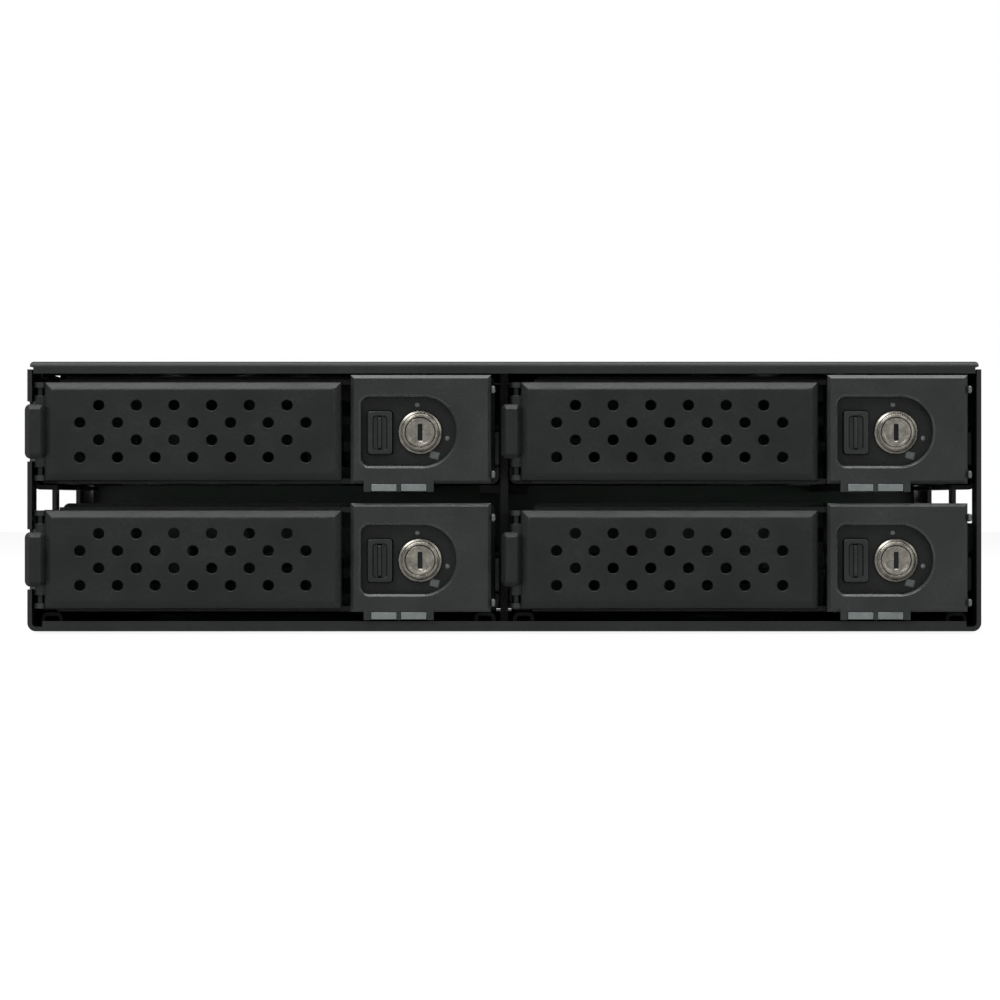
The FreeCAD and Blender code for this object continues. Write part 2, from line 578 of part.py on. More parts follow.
def make_light_pipes():
    """Two clear strips under the tray floor that carry light from the board's lamps to the front."""
    top = -PIPE_BELOW
    pipes = []
    for start in PIPE_STARTS:
        middle = start + PIPE_WIDTH / 2
        narrow_left, narrow_right = middle - PIPE_NARROW / 2, middle + PIPE_NARROW / 2
        corners = [(start + PIPE_BELOW, FRONT), (start + PIPE_WIDTH - PIPE_BELOW, FRONT),
                   (start + PIPE_WIDTH - PIPE_BELOW, deep(5)), (narrow_right, deep(9)), (narrow_right, TRAY_REAR),
                   (narrow_left, TRAY_REAR), (narrow_left, deep(9)), (start + PIPE_BELOW, deep(5))]
        pipes.append(plate("xy", corners, top - PIPE_HEIGHT + 0.1, top))
    return Part.makeCompound(pipes)


# ================================================================ the cage
WALL_MIDDLE = HALF_CAGE - CHASSIS_SHEET / 2
LEDGE_BREAK = MOUNT_STATIONS[0] - LEDGE_BRIDGE / 2
LEDGE_RUNS = ((LEDGE_FRONT, LEDGE_BREAK), (LEDGE_BREAK + LEDGE_BRIDGE, LEDGE_REAR))
RAIL_RUNS = ((LEDGE_FRONT, MOUNT_STATIONS[0] - LEDGE_BRIDGE), (MOUNT_STATIONS[0] + LEDGE_BRIDGE, RAIL_REAR))
CENTRE_FRONT = BEZEL_BACK + 1.0
CENTRE_REAR = deep(BOARD_FRONT - 0.5)
CENTRE_TAB_RUNS = ((deep(30), deep(42)), (deep(86), deep(98)))
BOARD_EAR_HEIGHTS = (CAGE_HEIGHT / 2 - 9.65, CAGE_HEIGHT / 2 + 12.35)
BOARD_EAR = 6.0
COVER_TAB = 6.5
COVER_TAB_FIRST = 24.0
COVER_TAB_LAST = BOARD_REAR + 2.4
COVER_TAB_MIDDLE = (COVER_TAB_FIRST + COVER_TAB_LAST) / 2
COVER_TAB_STATIONS = (deep(COVER_TAB_FIRST), deep(COVER_TAB_MIDDLE), deep(COVER_TAB_LAST))
COVER_TAB_LENGTH = 12.0
COVER_SCREW_X = WALL_INSIDE - 3.6
PANEL_EAR_LENGTH = 8.0
PANEL_EAR_LOW = CAGE_HEIGHT - 13.8
PANEL_EAR_HIGH = CAGE_HEIGHT - 3.8
PANEL_EAR_SCREW_Y = deep(PANEL_FRONT - 5.0)
PANEL_EAR_SCREW_Z = (PANEL_EAR_LOW + PANEL_EAR_HIGH) / 2


def side_window(run):
    """The opening that is left in a side wall where a ledge was lanced out of it."""
    start, end = run
    top = LEDGE_TOP + BEND
    return plate("yz", rectangle(start, end, LEDGE_WINDOW_LOW, top, 0.8), WALL_INSIDE - 1, HALF_CAGE + 1)


def side_ledge(run):
    """Ledge bent in from a side wall, with its bend at the wall."""
    start, end = run
    level = LEDGE_TOP - CHASSIS_SHEET / 2
    path = [(WALL_MIDDLE, LEDGE_TOP + BEND + 0.4), (WALL_MIDDLE, level), (WALL_INSIDE - LEDGE_WIDTH, level)]
    return folded("xz", path, CHASSIS_SHEET, start, end)


def make_chassis():
    """One folded sheet: floor, two walls with lanced ledges, tabs for the cover and ears for the board."""
    top = COVER_UNDER - CHASSIS_SHEET / 2
    low = CHASSIS_SHEET / 2
    wall_top = COVER_UNDER - WALL_TOP_GAP
    path = [(-WALL_MIDDLE, wall_top), (-WALL_MIDDLE, low), (WALL_MIDDLE, low), (WALL_MIDDLE, wall_top)]
    shell = folded("xz", path, CHASSIS_SHEET, CAGE_FRONT, CAGE_REAR)
    notch_low = LOWER_TRAY_FLOOR + TAIL_LOW - TAIL_NOTCH_GAP
    notch_high = LOWER_TRAY_FLOOR + TAIL_HIGH + TAIL_NOTCH_GAP
    holes = []
    for rise in (0, ROW_PITCH):
        notch_back = CAGE_FRONT + TAIL_NOTCH_DEPTH
        notch = rectangle(CAGE_FRONT - 1, notch_back, notch_low + rise, notch_high + rise, 0.6)
        holes.append(plate("yz", notch, -HALF_CAGE - 1, -WALL_INSIDE + 1))
    for run in LEDGE_RUNS:
        holes.extend(both_sides(side_window(run)))
    for y in COVER_TAB_STATIONS:
        reach = COVER_TAB_LENGTH / 2 + BEND_RELIEF
        relief = rectangle(y - reach, y + reach, COVER_UNDER - 2.2, CAGE_HEIGHT)
        holes.extend(both_sides(plate("yz", relief, WALL_INSIDE - 1, HALF_CAGE + 1)))
    for y in MOUNT_STATIONS:
        for z in (MOUNT_LOW, MOUNT_HIGH):
            holes.append(rod(MOUNT_HOLE, Vector(-HALF_CAGE - 1, y, z), Vector(1, 0, 0), 3))
            holes.append(rod(MOUNT_HOLE, Vector(WALL_INSIDE - 1, y, z), Vector(1, 0, 0), 3))
        for x in (-MOUNT_ACROSS / 2, MOUNT_ACROSS / 2):
            holes.append(rod(MOUNT_HOLE, Vector(x, y, -1), Vector(0, 0, 1), 3))
    for start, end in CENTRE_TAB_RUNS:
        slot = rectangle(-CENTRE_SHEET / 2 - SLOT_GAP, CENTRE_SHEET / 2 + SLOT_GAP, start - SLOT_GAP, end + SLOT_GAP)
        holes.append(plate("xy", slot, -1, 2))
    ear_screw = flat_screw(Vector(HALF_CAGE, PANEL_EAR_SCREW_Y, PANEL_EAR_SCREW_Z), Vector(-1, 0, 0),
                           CHASSIS_SHEET, CHASSIS_SHEET + 1, SCREW_FIT)
    holes.extend(both_sides(ear_screw))
    shell = shell.cut(holes)
    lip_half = WALL_INSIDE - FLOOR_LIP_SHORT
    lip = plate("xz", rectangle(-lip_half, lip_half, 0, FLOOR_LIP), CAGE_FRONT, CAGE_FRONT + CHASSIS_SHEET)
    pieces = [shell, lip]
    for run in LEDGE_RUNS:
        pieces.extend(both_sides(side_ledge(run)))
    for y in COVER_TAB_STATIONS:
        start, end = y - COVER_TAB_LENGTH / 2, y + COVER_TAB_LENGTH / 2
        path = [(WALL_MIDDLE, COVER_UNDER - 3), (WALL_MIDDLE, top), (WALL_INSIDE - COVER_TAB, top)]
        tab = folded("xz", path, CHASSIS_SHEET, start, end)
        hole = rod(SCREW_RADIUS + SCREW_FIT, Vector(COVER_SCREW_X, y, COVER_UNDER - 3), Vector(0, 0, 1), 5)
        pieces.extend(both_sides(tab.cut(hole)))
    for z in BOARD_EAR_HEIGHTS:
        ear_y = deep(BOARD_REAR) + CHASSIS_SHEET / 2
        path = [(WALL_MIDDLE, ear_y + 4), (WALL_MIDDLE, ear_y), (WALL_INSIDE - BOARD_EAR, ear_y)]
        ear = folded("xy", path, CHASSIS_SHEET, z - 3.5, z + 3.5)
        hole = rod(SCREW_RADIUS + SCREW_FIT, Vector(WALL_INSIDE - BOARD_EAR / 2, deep(BOARD_REAR) - 1, z),
                   Vector(0, 1, 0), 4)
        pieces.extend(both_sides(ear.cut(hole)))
    return joined(pieces)


def make_top_cover():
    """Lid with rounded long edges, a folded front lip, screw holes and slots for the centre wall's tabs."""
    half = HALF_CAGE - COVER_INSET
    lip_low = CAGE_HEIGHT - COVER_LIP
    across = [(-half, lip_low), (half, lip_low), (half, CAGE_HEIGHT, COVER_EDGE_ROUND),
              (-half, CAGE_HEIGHT, COVER_EDGE_ROUND)]
    along = [(CAGE_FRONT, lip_low), (CAGE_FRONT, CAGE_HEIGHT, COVER_LIP_ROUND), (CAGE_REAR, CAGE_HEIGHT),
             (CAGE_REAR, COVER_UNDER), (CAGE_FRONT + COVER_SHEET, COVER_UNDER),
             (CAGE_FRONT + COVER_SHEET, lip_low)]
    cover = plate("yz", along, -half, half).common(plate("xz", across, CAGE_FRONT - 1, CAGE_REAR + 1))
    beside_wall = rectangle(WALL_INSIDE - RUN_GAP, HALF_CAGE, lip_low - 1, COVER_UNDER)
    cuts = both_sides(plate("xz", beside_wall, CAGE_FRONT - 1, CAGE_FRONT + COVER_SHEET + 1))
    for y in COVER_TAB_STATIONS:
        for x in (-COVER_SCREW_X, COVER_SCREW_X):
            seat = Vector(x, y, CAGE_HEIGHT)
            cuts.append(flat_screw(seat, Vector(0, 0, -1), COVER_SHEET, COVER_SHEET + 1, SCREW_FIT))
    for start, end in CENTRE_TAB_RUNS:
        slot = rectangle(-CENTRE_SHEET / 2 - SLOT_GAP, CENTRE_SHEET / 2 + SLOT_GAP, start - SLOT_GAP, end + SLOT_GAP)
        cuts.append(plate("xy", slot, COVER_UNDER - 1, CAGE_HEIGHT + 1))
    return cover.cut(cuts)


def flat_screw(seat, axis, sheet, grip, extra=0.0):
    """Countersunk screw, or its hole: the cone fills a sheet's thickness and the shank goes on."""
    radius = SCREW_RADIUS + extra
    head = radius + COUNTERSINK
    return spun([(0, 0), (0, head), (sheet, radius), (grip, radius), (grip, 0)], seat, axis)


def make_cover_screws():
    """Six countersunk screws that hold the cover to the chassis tabs."""
    screws = []
    for y in COVER_TAB_STATIONS:
        for x in (-COVER_SCREW_X, COVER_SCREW_X):
            screw = flat_screw(Vector(x, y, CAGE_HEIGHT), Vector(0, 0, -1), COVER_SHEET, 3.2)
            arms = ((0.25, 1.1), (1.1, 0.25))
            slots = [rectangle(x - across, x + across, y - along, y + along) for across, along in arms]
            screws.append(screw.cut([plate("xy", arm, CAGE_HEIGHT - 0.5, CAGE_HEIGHT + 1) for arm in slots]))
    return Part.makeCompound(screws)


def make_centre_wall():
    """Dividing wall with tabs through floor and cover and ledges lanced to either side by turns."""
    half = CENTRE_SHEET / 2
    wall = plate("yz", rectangle(CENTRE_FRONT, CENTRE_REAR, CHASSIS_SHEET, COVER_UNDER, 0.6), -half, half)
    pieces = [wall]
    for start, end in CENTRE_TAB_RUNS:
        pieces.append(plate("yz", rectangle(start, end, 0, CAGE_HEIGHT), -half, half))
    wall = joined(pieces)
    windows = []
    ledges = []
    run_length = 15.0
    level = LEDGE_TOP - CENTRE_SHEET / 2
    for index in range(4):
        start = CENTRE_FRONT + 5 + index * 22
        side = 1 if index % 2 else -1
        window = rectangle(start, start + run_length, LEDGE_WINDOW_LOW, LEDGE_TOP + BEND, 0.8)
        windows.append(plate("yz", window, -CENTRE_SHEET, CENTRE_SHEET))
        path = [(0, LEDGE_TOP + BEND + 0.6), (0, level), (side * (half + LEDGE_WIDTH), level)]
        ledges.append(folded("xz", path, CENTRE_SHEET, start, start + run_length))
    return joined([wall.cut(windows)] + ledges)


def make_floor_rails():
    """Low channels on the floor that the lower trays run on, open where the base screws enter."""
    top = LOWER_TRAY_FLOOR - RUN_GAP
    rails = []
    for bay in (-BAY_CENTRE, BAY_CENTRE):
        for side in (-1, 1):
            outer = bay + side * (BAY_HALF - 0.7)
            inner = outer - side * RAIL_WIDTH
            left, right = min(outer, inner) + RAIL_SHEET / 2, max(outer, inner) - RAIL_SHEET / 2
            for start, end in RAIL_RUNS:
                path = [(left, CHASSIS_SHEET), (left, top - RAIL_SHEET / 2), (right, top - RAIL_SHEET / 2),
                        (right, CHASSIS_SHEET)]
                rails.append(folded("xz", path, RAIL_SHEET, start, end, 0.3))
    return Part.makeCompound(rails)


# ================================================================ the board and what is on it
BOARD_Y0 = deep(BOARD_FRONT)
BOARD_Y1 = deep(BOARD_REAR)
BOARD_HALF = WALL_INSIDE - 0.5
BOARD_LOW = CHASSIS_SHEET + 0.4
BOARD_HIGH = COVER_UNDER - CHASSIS_SHEET - 0.4
SOCKET_LEFT = -28.5
SOCKET_WIDTH = 37.0
SOCKET_LOW = 1.5
SOCKET_HIGH = 6.9
BOARD_SCREW_X = WALL_INSIDE - BOARD_EAR / 2
DATA_PORTS = (-21.0, -12.5, 12.5, 21.0)
DATA_LOW = 15.0
POWER_CENTRES = (-13.5, 13.5)
POWER_LOW = 4.8
PORT_WALL = 0.9
VIEW_DISTANCE = 800.0
VIEW_HEIGHT = 20.0
BOARD_AIR_RADIUS = 1.6
BOARD_AIR_NEAR = FAN_X - FAN_DUCT - 3.0
BOARD_AIR_FAR = FAN_X + FAN_DUCT - 7.0
BOARD_AIR_ROWS = {"upper_left": (1, 2), "upper_right": (1, 2), "lower_left": (2, 3), "lower_right": (2, 3)}


def board_air_places():
    """Places of the board's air holes: midway between the lever's holes as the eye sees them on the board.

    So no straight line from a viewer runs through a lever and the board, and the cage is dark inside.
    """
    spread = 1 + BOARD_FRONT / VIEW_DISTANCE
    places = []
    for bay, rows in BOARD_AIR_ROWS.items():
        centre_x, floor_z = TRAYS[bay]
        for row in rows:
            z = VIEW_HEIGHT + spread * (floor_z + HOLE_FIELD_LOW + row * HOLE_ROW_PITCH - VIEW_HEIGHT)
            shift = 0.5 if row % 2 == 0 else 0.0
            for step in range(-HOLE_LONG_ROW, HOLE_LONG_ROW):
                x = spread * (centre_x + HOLE_MIDDLE + (step + shift) * HOLE_PITCH)
                if BOARD_AIR_NEAR < abs(x) < BOARD_AIR_FAR and x * centre_x > 0:
                    places.append((x, z))
    return places


def make_backplane_board():
    """Circuit board across the cage, with air holes in front of the fans and screw holes."""
    board = plate("xz", rectangle(-BOARD_HALF, BOARD_HALF, BOARD_LOW, BOARD_HIGH, 1.0), BOARD_Y0, BOARD_Y1)
    crest_half = WALL_INSIDE - COVER_TAB - 1.0
    crest = plate("xz", rectangle(-crest_half, crest_half, BOARD_HIGH - 2.0, COVER_UNDER - 0.1), BOARD_Y0, BOARD_Y1)
    board = joined([board, crest])
    cuts = []
    for z in BOARD_EAR_HEIGHTS:
        for x in (-BOARD_SCREW_X, BOARD_SCREW_X):
            cuts.append(rod(SCREW_RADIUS + SCREW_FIT, Vector(x, BOARD_Y0 - 1, z), Vector(0, 1, 0), 4))
    for x, z in board_air_places():
        cuts.append(rod(BOARD_AIR_RADIUS, Vector(x, BOARD_Y0 - 1, z), Vector(0, 1, 0), BOARD_THICKNESS + 2))
    return board.cut(cuts)


def make_drive_sockets():
    """Four drive receptacles: a wide power bay and a narrow signal bay, each with its contact tongue."""
    front = deep(SOCKET_FRONT)
    sockets = []
    for centre_x, floor_z in TRAYS.values():
        left = centre_x + SOCKET_LEFT
        body = plate("xz", rectangle(left, left + SOCKET_WIDTH, floor_z + SOCKET_LOW, floor_z + SOCKET_HIGH, 0.5),
                     front, BOARD_Y0)
        bays = []
        for start, end in ((1.6, 22.8), (24.4, 35.4)):
            bays.append(plate("xz", rectangle(left + start, left + end, floor_z + SOCKET_LOW + 1.0,
                                              floor_z + SOCKET_HIGH - 1.0, 0.3), front - 1, front + 4.6))
        tongues = []
        for start, end in ((2.6, 21.8), (25.4, 34.4)):
            middle = floor_z + (SOCKET_LOW + SOCKET_HIGH) / 2
            tongues.append(plate("xz", rectangle(left + start, left + end, middle - 0.6, middle + 0.6),
                                 front + 0.4, front + 5.0))
        sockets.append(joined([body.cut(bays)] + tongues))
    return Part.makeCompound(sockets)


def header(corners, tongue):
    """Cable header behind the board: a shroud open to the rear with its contact tongue inside."""
    rear = BOARD_Y1 + HEADER_DEPTH
    left, right = corners[0][0], corners[1][0]
    low, high = corners[0][1], corners[2][1]
    body = plate("xz", corners, BOARD_Y1, rear)
    inside = rectangle(left + PORT_WALL, right - PORT_WALL, low + PORT_WALL, high - PORT_WALL, 0.3)
    hollow = plate("xz", inside, BOARD_Y1 + 2, rear + 1)
    return joined([body.cut(hollow), plate("xz", tongue, BOARD_Y1 + 1, rear - 1)])


def make_data_ports():
    """Four upright seven-way data headers."""
    ports = []
    for x in DATA_PORTS:
        body = rectangle(x - 3.1, x + 3.1, DATA_LOW, DATA_LOW + 14.5, 0.5)
        tongue = [(x - 0.6, DATA_LOW + 2.2), (x + 0.6, DATA_LOW + 2.2), (x + 0.6, DATA_LOW + 12.3),
                  (x - 1.4, DATA_LOW + 12.3), (x - 1.4, DATA_LOW + 11.1), (x - 0.6, DATA_LOW + 11.1)]
        ports.append(header(body, tongue))
    return Part.makeCompound(ports)


def make_power_inlets():
    """Two fifteen-way power headers, side by side near the floor."""
    inlets = []
    for x in POWER_CENTRES:
        body = rectangle(x - 12.2, x + 12.2, POWER_LOW, POWER_LOW + 6.4, 0.5)
        middle = POWER_LOW + 3.2
        tongue = [(x - 10.2, middle - 0.6), (x + 10.2, middle - 0.6), (x + 10.2, middle + 0.6),
                  (x - 9.0, middle + 0.6), (x - 9.0, middle + 1.4), (x - 10.2, middle + 1.4)]
        inlets.append(header(body, tongue))
    return Part.makeCompound(inlets)


def make_board_parts():
    """Lamps in line with the light pipes, controller chips, capacitors and the two fan headers."""
    solids = []
    for centre_x, floor_z in TRAYS.values():
        for start in PIPE_STARTS:
            x = centre_x + start + PIPE_WIDTH / 2
            z = floor_z - PIPE_BELOW - PIPE_HEIGHT / 2
            solids.append(plate("xz", rectangle(x - 0.8, x + 0.8, z - 0.4, z + 0.4, 0.1), BOARD_Y0 - 0.8, BOARD_Y0))
    for x, z in ((-36, 20), (36, 20), (0, 33)):
        solids.append(plate("xz", rectangle(x - 3.5, x + 3.5, z - 3.5, z + 3.5, 0.3), BOARD_Y1, BOARD_Y1 + 1.0))
    for x in (-31, 31):
        can = spun([(0, 0), (0, 2.5), (4.6, 2.5), (5.0, 2.1), (5.0, 0)], Vector(x, BOARD_Y1, 8), Vector(0, 1, 0))
        solids.append(can)
    for x in (-44, 44):
        shell = plate("xz", rectangle(x - 4, x + 4, 4, 9.5), BOARD_Y1, BOARD_Y1 + 6)
        well = plate("xz", rectangle(x - 3.2, x + 3.2, 4.8, 8.7), BOARD_Y1 + 2, BOARD_Y1 + 7)
        solids.append(shell.cut(well))
    return Part.makeCompound(solids)


def pan_screw(centre, axis, grip):
    """Domed-head screw: the head outside a surface at the centre, the shank along the axis."""
    profile = [(-HEAD_HEIGHT, 0), (-HEAD_HEIGHT, HEAD_RADIUS * 0.55), (-HEAD_HEIGHT * 0.45, HEAD_RADIUS),
               (0, HEAD_RADIUS), (0, SCREW_RADIUS), (grip, SCREW_RADIUS), (grip, 0)]
    return spun(profile, centre, axis)


def make_board_screws():
    """Four screws that hold the board to the chassis ears."""
    grip = BOARD_THICKNESS + CHASSIS_SHEET + 1.0
    places = [(x, z) for z in BOARD_EAR_HEIGHTS for x in (-BOARD_SCREW_X, BOARD_SCREW_X)]
    return Part.makeCompound([pan_screw(Vector(x, BOARD_Y0, z), Vector(0, 1, 0), grip) for x, z in places])


# ================================================================ the rear panel and the fans
PANEL_Y0 = deep(PANEL_FRONT)
PANEL_Y1 = deep(PANEL_REAR)


def make_rear_panel():
    """Rear sheet with two ears folded forward, two fan openings and the cable window."""
    middle = PANEL_Y0 + REAR_SHEET / 2
    outer = WALL_INSIDE - REAR_SHEET / 2
    ear_end = PANEL_Y0 - PANEL_EAR_LENGTH
    path = [(-outer, ear_end), (-outer, middle), (outer, middle), (outer, ear_end)]
    eared = folded("xy", path, REAR_SHEET, PANEL_EAR_LOW, PANEL_EAR_HIGH)
    sheet = plate("xz", rectangle(-WALL_INSIDE + 1.4, WALL_INSIDE - 1.4, CHASSIS_SHEET + 0.1, COVER_UNDER - 0.1, 1.0),
                  PANEL_Y0, PANEL_Y1)
    cuts = [plate("xz", rectangle(-CABLE_WINDOW_HALF, CABLE_WINDOW_HALF, CABLE_WINDOW_LOW, CABLE_WINDOW_HIGH, 2.5),
                  PANEL_Y0 - 1, PANEL_Y1 + 1)]
    for side in (-1, 1):
        cuts.append(rod(FAN_DUCT, Vector(side * FAN_X, PANEL_Y0 - 1, FAN_AXIS_Z), Vector(0, 1, 0), 3))
        for x, z in fan_corners(side):
            cuts.append(rod(SCREW_RADIUS + SCREW_FIT, Vector(x, PANEL_Y0 - 1, z), Vector(0, 1, 0), 3))
        ear_hole = rod(SCREW_RADIUS + SCREW_FIT, Vector(side * (WALL_INSIDE + 1), PANEL_EAR_SCREW_Y, PANEL_EAR_SCREW_Z),
                       Vector(-side, 0, 0), 4)
        cuts.append(ear_hole)
    return joined([eared, sheet]).cut(cuts)


def fan_corners(side):
    """The four screw places of the fan on one side."""
    reach = FAN_SCREW_PITCH / 2
    return [(side * FAN_X + x, FAN_AXIS_Z + z) for x in (-reach, reach) for z in (-reach, reach)]


def make_fan_frame(side):
    """Square fan housing with a round duct, four struts, a motor base and the shaft's bush."""
    x = side * FAN_X
    half = FAN_SIZE / 2
    rear = PANEL_Y1 + FAN_DEPTH
    axis = Vector(0, 1, 0)
    square = rectangle(x - half, x + half, FAN_AXIS_Z - half, FAN_AXIS_Z + half, FAN_CORNER)
    block = plate("xz", square, PANEL_Y1, rear)
    cuts = [rod(FAN_DUCT, Vector(x, PANEL_Y1 - 1, FAN_AXIS_Z), axis, FAN_DEPTH + 2)]
    for corner_x, corner_z in fan_corners(side):
        cuts.append(rod(SCREW_RADIUS + SCREW_FIT, Vector(corner_x, PANEL_Y1 - 1, corner_z), axis, FAN_DEPTH + 2))
        cuts.append(rod(HEAD_RADIUS + 0.2, Vector(corner_x, rear - FAN_COUNTERBORE, corner_z), axis, 3))
    frame = block.cut(cuts)
    bore = FAN_SHAFT + FAN_SHAFT_FIT
    base = spun([(0, bore), (0, FAN_HUB), (-1.6, FAN_HUB), (-1.6, 8.6), (-6.2, 8.6), (-6.2, bore)],
                Vector(x, rear, FAN_AXIS_Z), axis)
    struts = []
    for index in range(4):
        strut = plate("xz", rectangle(x + FAN_HUB - 0.6, x + FAN_DUCT + 0.6, FAN_AXIS_Z - 1.0, FAN_AXIS_Z + 1.0),
                      rear - 1.6, rear)
        strut.rotate(Vector(x, 0, FAN_AXIS_Z), axis, 90 * index + 22)
        struts.append(strut)
    return joined([frame, base] + struts)


def blade_section(radius, middle_y, chord, rise, thickness):
    """One blade section at this distance from the shaft: a bowed strip, as a closed flat wire."""
    stations = 5
    front, back = [], []
    for index in range(stations):
        share = index / (stations - 1)
        bow = BLADE_BOW * math.sin(math.pi * share)
        x = chord * (share - 0.5)
        y = middle_y + rise * (share - 0.5) - bow
        front.append(Vector(x, y - thickness / 2, radius))
        back.append(Vector(x, y + thickness / 2, radius))
    upper = Part.BSplineCurve()
    upper.interpolate(front)
    lower = Part.BSplineCurve()
    lower.interpolate(back[::-1])
    edges = [upper.toShape(), Part.makeLine(front[-1], back[-1]), lower.toShape(), Part.makeLine(back[0], front[0])]
    return Part.Wire(edges)


def make_fan_rotor(side):
    """Impeller: a cup that covers the motor, its shaft, and lofted twisted blades."""
    x = side * FAN_X
    axis = Vector(0, 1, 0)
    front = PANEL_Y1 + 0.8
    skirt = PANEL_Y1 + FAN_DEPTH - 2.1
    depth = skirt - front
    inner = FAN_HUB - 1.2
    shaft_end = PANEL_Y1 + FAN_DEPTH - 0.4 - front
    cup = spun([(0, 0), (0, FAN_HUB - 1.0), (1.0, FAN_HUB), (depth, FAN_HUB), (depth, inner), (1.3, inner),
                (1.3, FAN_SHAFT), (shaft_end, FAN_SHAFT), (shaft_end, 0)], Vector(0, front, 0), axis)
    middle = (front + skirt) / 2
    tip = FAN_DUCT - FAN_TIP_GAP
    root = math.sqrt(inner ** 2 - (BLADE_ROOT_CHORD / 2) ** 2) + 0.3
    sections = ((root, BLADE_ROOT_CHORD, 5.4, 0.9), ((root + tip) / 2, 8.6, 4.8, 0.8), (tip + 0.5, 10.4, 3.8, 0.6))
    wires = [blade_section(radius, middle, chord, rise, thick) for radius, chord, rise, thick in sections]
    rim = rod(tip, Vector(0, front - 1, 0), axis, depth + 2)
    core = rod(FAN_HUB - 0.5, Vector(0, front - 1, 0), axis, depth + 2)
    blade = Part.makeLoft(wires, True, False).common(rim).cut(core)
    blades = []
    for index in range(FAN_BLADES):
        turned = blade.copy()
        turned.rotate(Vector(0, 0, 0), axis, 360 / FAN_BLADES * index)
        blades.append(turned)
    rotor = joined([cup] + blades)
    rotor.translate(Vector(x, 0, FAN_AXIS_Z))
    return rotor


def make_fan_screws():
    """Eight screws through the fans' corners into the rear panel, heads at the back."""
    seat = PANEL_Y1 + FAN_DEPTH - FAN_COUNTERBORE
    grip = seat - PANEL_Y0 + 0.8
    screws = []
    for side in (-1, 1):
        for x, z in fan_corners(side):
            screws.append(pan_screw(Vector(x, seat, z), Vector(0, -1, 0), grip))
    return Part.makeCompound(screws)


def make_panel_screws():
    """Two countersunk screws through the side walls into the rear panel's ears."""
    screws = []
    for side in (-1, 1):
        seat = Vector(side * HALF_CAGE, PANEL_EAR_SCREW_Y, PANEL_EAR_SCREW_Z)
        screws.append(flat_screw(seat, Vector(-side, 0, 0), CHASSIS_SHEET, CHASSIS_SHEET + REAR_SHEET + 1.5))
    return Part.makeCompound(screws)


# ================================================================ write every piece
def save(shape, name):
    """Write one node as parts/NAME.step."""
    shape.exportStep("parts/" + name + ".step")


TRAY_MAKERS = {
    "tray_frame": make_tray_frame,
    "tray_bezel": make_tray_bezel,
    "lever": make_lever,
    "lever_pin": make_lever_pin,
    "lever_spring": make_lever_spring,
    "latch_button": make_latch_button,
    "latch_catch": make_latch_catch,
    "lock_barrel": make_lock_barrel,
    "lock_plug": make_lock_plug,
    "light_pipes": make_light_pipes,
}
CAGE_MAKERS = {
    "chassis": make_chassis,
    "top_cover": make_top_cover,
    "cover_screws": make_cover_screws,
    "centre_wall": make_centre_wall,
    "floor_rails": make_floor_rails,
    "backplane_board": make_backplane_board,
    "board_parts": make_board_parts,
    "board_screws": make_board_screws,
    "drive_sockets": make_drive_sockets,
    "data_ports": make_data_ports,
    "power_inlets": make_power_inlets,
    "rear_panel": make_rear_panel,
    "panel_screws": make_panel_screws,
    "fan_screws": make_fan_screws,
}


def main():
    """Build and save the whole cage."""
    os.makedirs("parts", exist_ok=True)
    for name, maker in CAGE_MAKERS.items():
        save(maker(), name)
    for side, word in ((-1, "left"), (1, "right")):
        save(make_fan_frame(side), "fan_frame_" + word)
        save(make_fan_rotor(side), "fan_rotor_" + word)
    for name, maker in TRAY_MAKERS.items():
        piece = maker()
        for bay in TRAYS:
            save(in_bay(piece, bay), name + "_" + bay)


main()
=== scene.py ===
"""Looks of a hot swap drive cage: its finishes, its fine front pieces and the studio round it."""
import json
import logging
import math
from dataclasses import dataclass
from enum import Enum
from typing import Dict, List, Optional, Sequence, Tuple

import bmesh
import bpy
import numpy as np
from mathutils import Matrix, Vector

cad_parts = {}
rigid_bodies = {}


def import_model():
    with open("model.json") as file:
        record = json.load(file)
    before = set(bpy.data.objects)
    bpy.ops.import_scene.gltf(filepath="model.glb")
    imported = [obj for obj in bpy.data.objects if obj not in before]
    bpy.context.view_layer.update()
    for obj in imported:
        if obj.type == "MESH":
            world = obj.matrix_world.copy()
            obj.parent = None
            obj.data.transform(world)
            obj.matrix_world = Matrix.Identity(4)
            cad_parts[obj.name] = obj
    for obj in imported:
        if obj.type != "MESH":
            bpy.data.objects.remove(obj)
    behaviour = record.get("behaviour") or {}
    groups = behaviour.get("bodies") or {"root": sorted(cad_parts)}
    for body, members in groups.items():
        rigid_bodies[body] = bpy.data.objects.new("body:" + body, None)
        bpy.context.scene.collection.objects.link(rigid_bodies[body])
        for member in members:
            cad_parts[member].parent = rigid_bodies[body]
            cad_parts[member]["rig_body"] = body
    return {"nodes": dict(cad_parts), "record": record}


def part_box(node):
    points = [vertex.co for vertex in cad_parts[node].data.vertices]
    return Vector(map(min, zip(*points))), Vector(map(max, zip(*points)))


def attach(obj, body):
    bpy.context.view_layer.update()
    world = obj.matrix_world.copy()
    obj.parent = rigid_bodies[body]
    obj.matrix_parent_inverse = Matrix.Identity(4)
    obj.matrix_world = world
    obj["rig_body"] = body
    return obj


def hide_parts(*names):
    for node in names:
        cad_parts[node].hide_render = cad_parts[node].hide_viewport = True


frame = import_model()

logging.basicConfig(level=logging.INFO, format="%(message)s")
LOG = logging.getLogger("cage")

MM = 0.001               # metres in a millimetre
BAYS = ("upper_left", "upper_right", "lower_left", "lower_right")
Array = np.ndarray


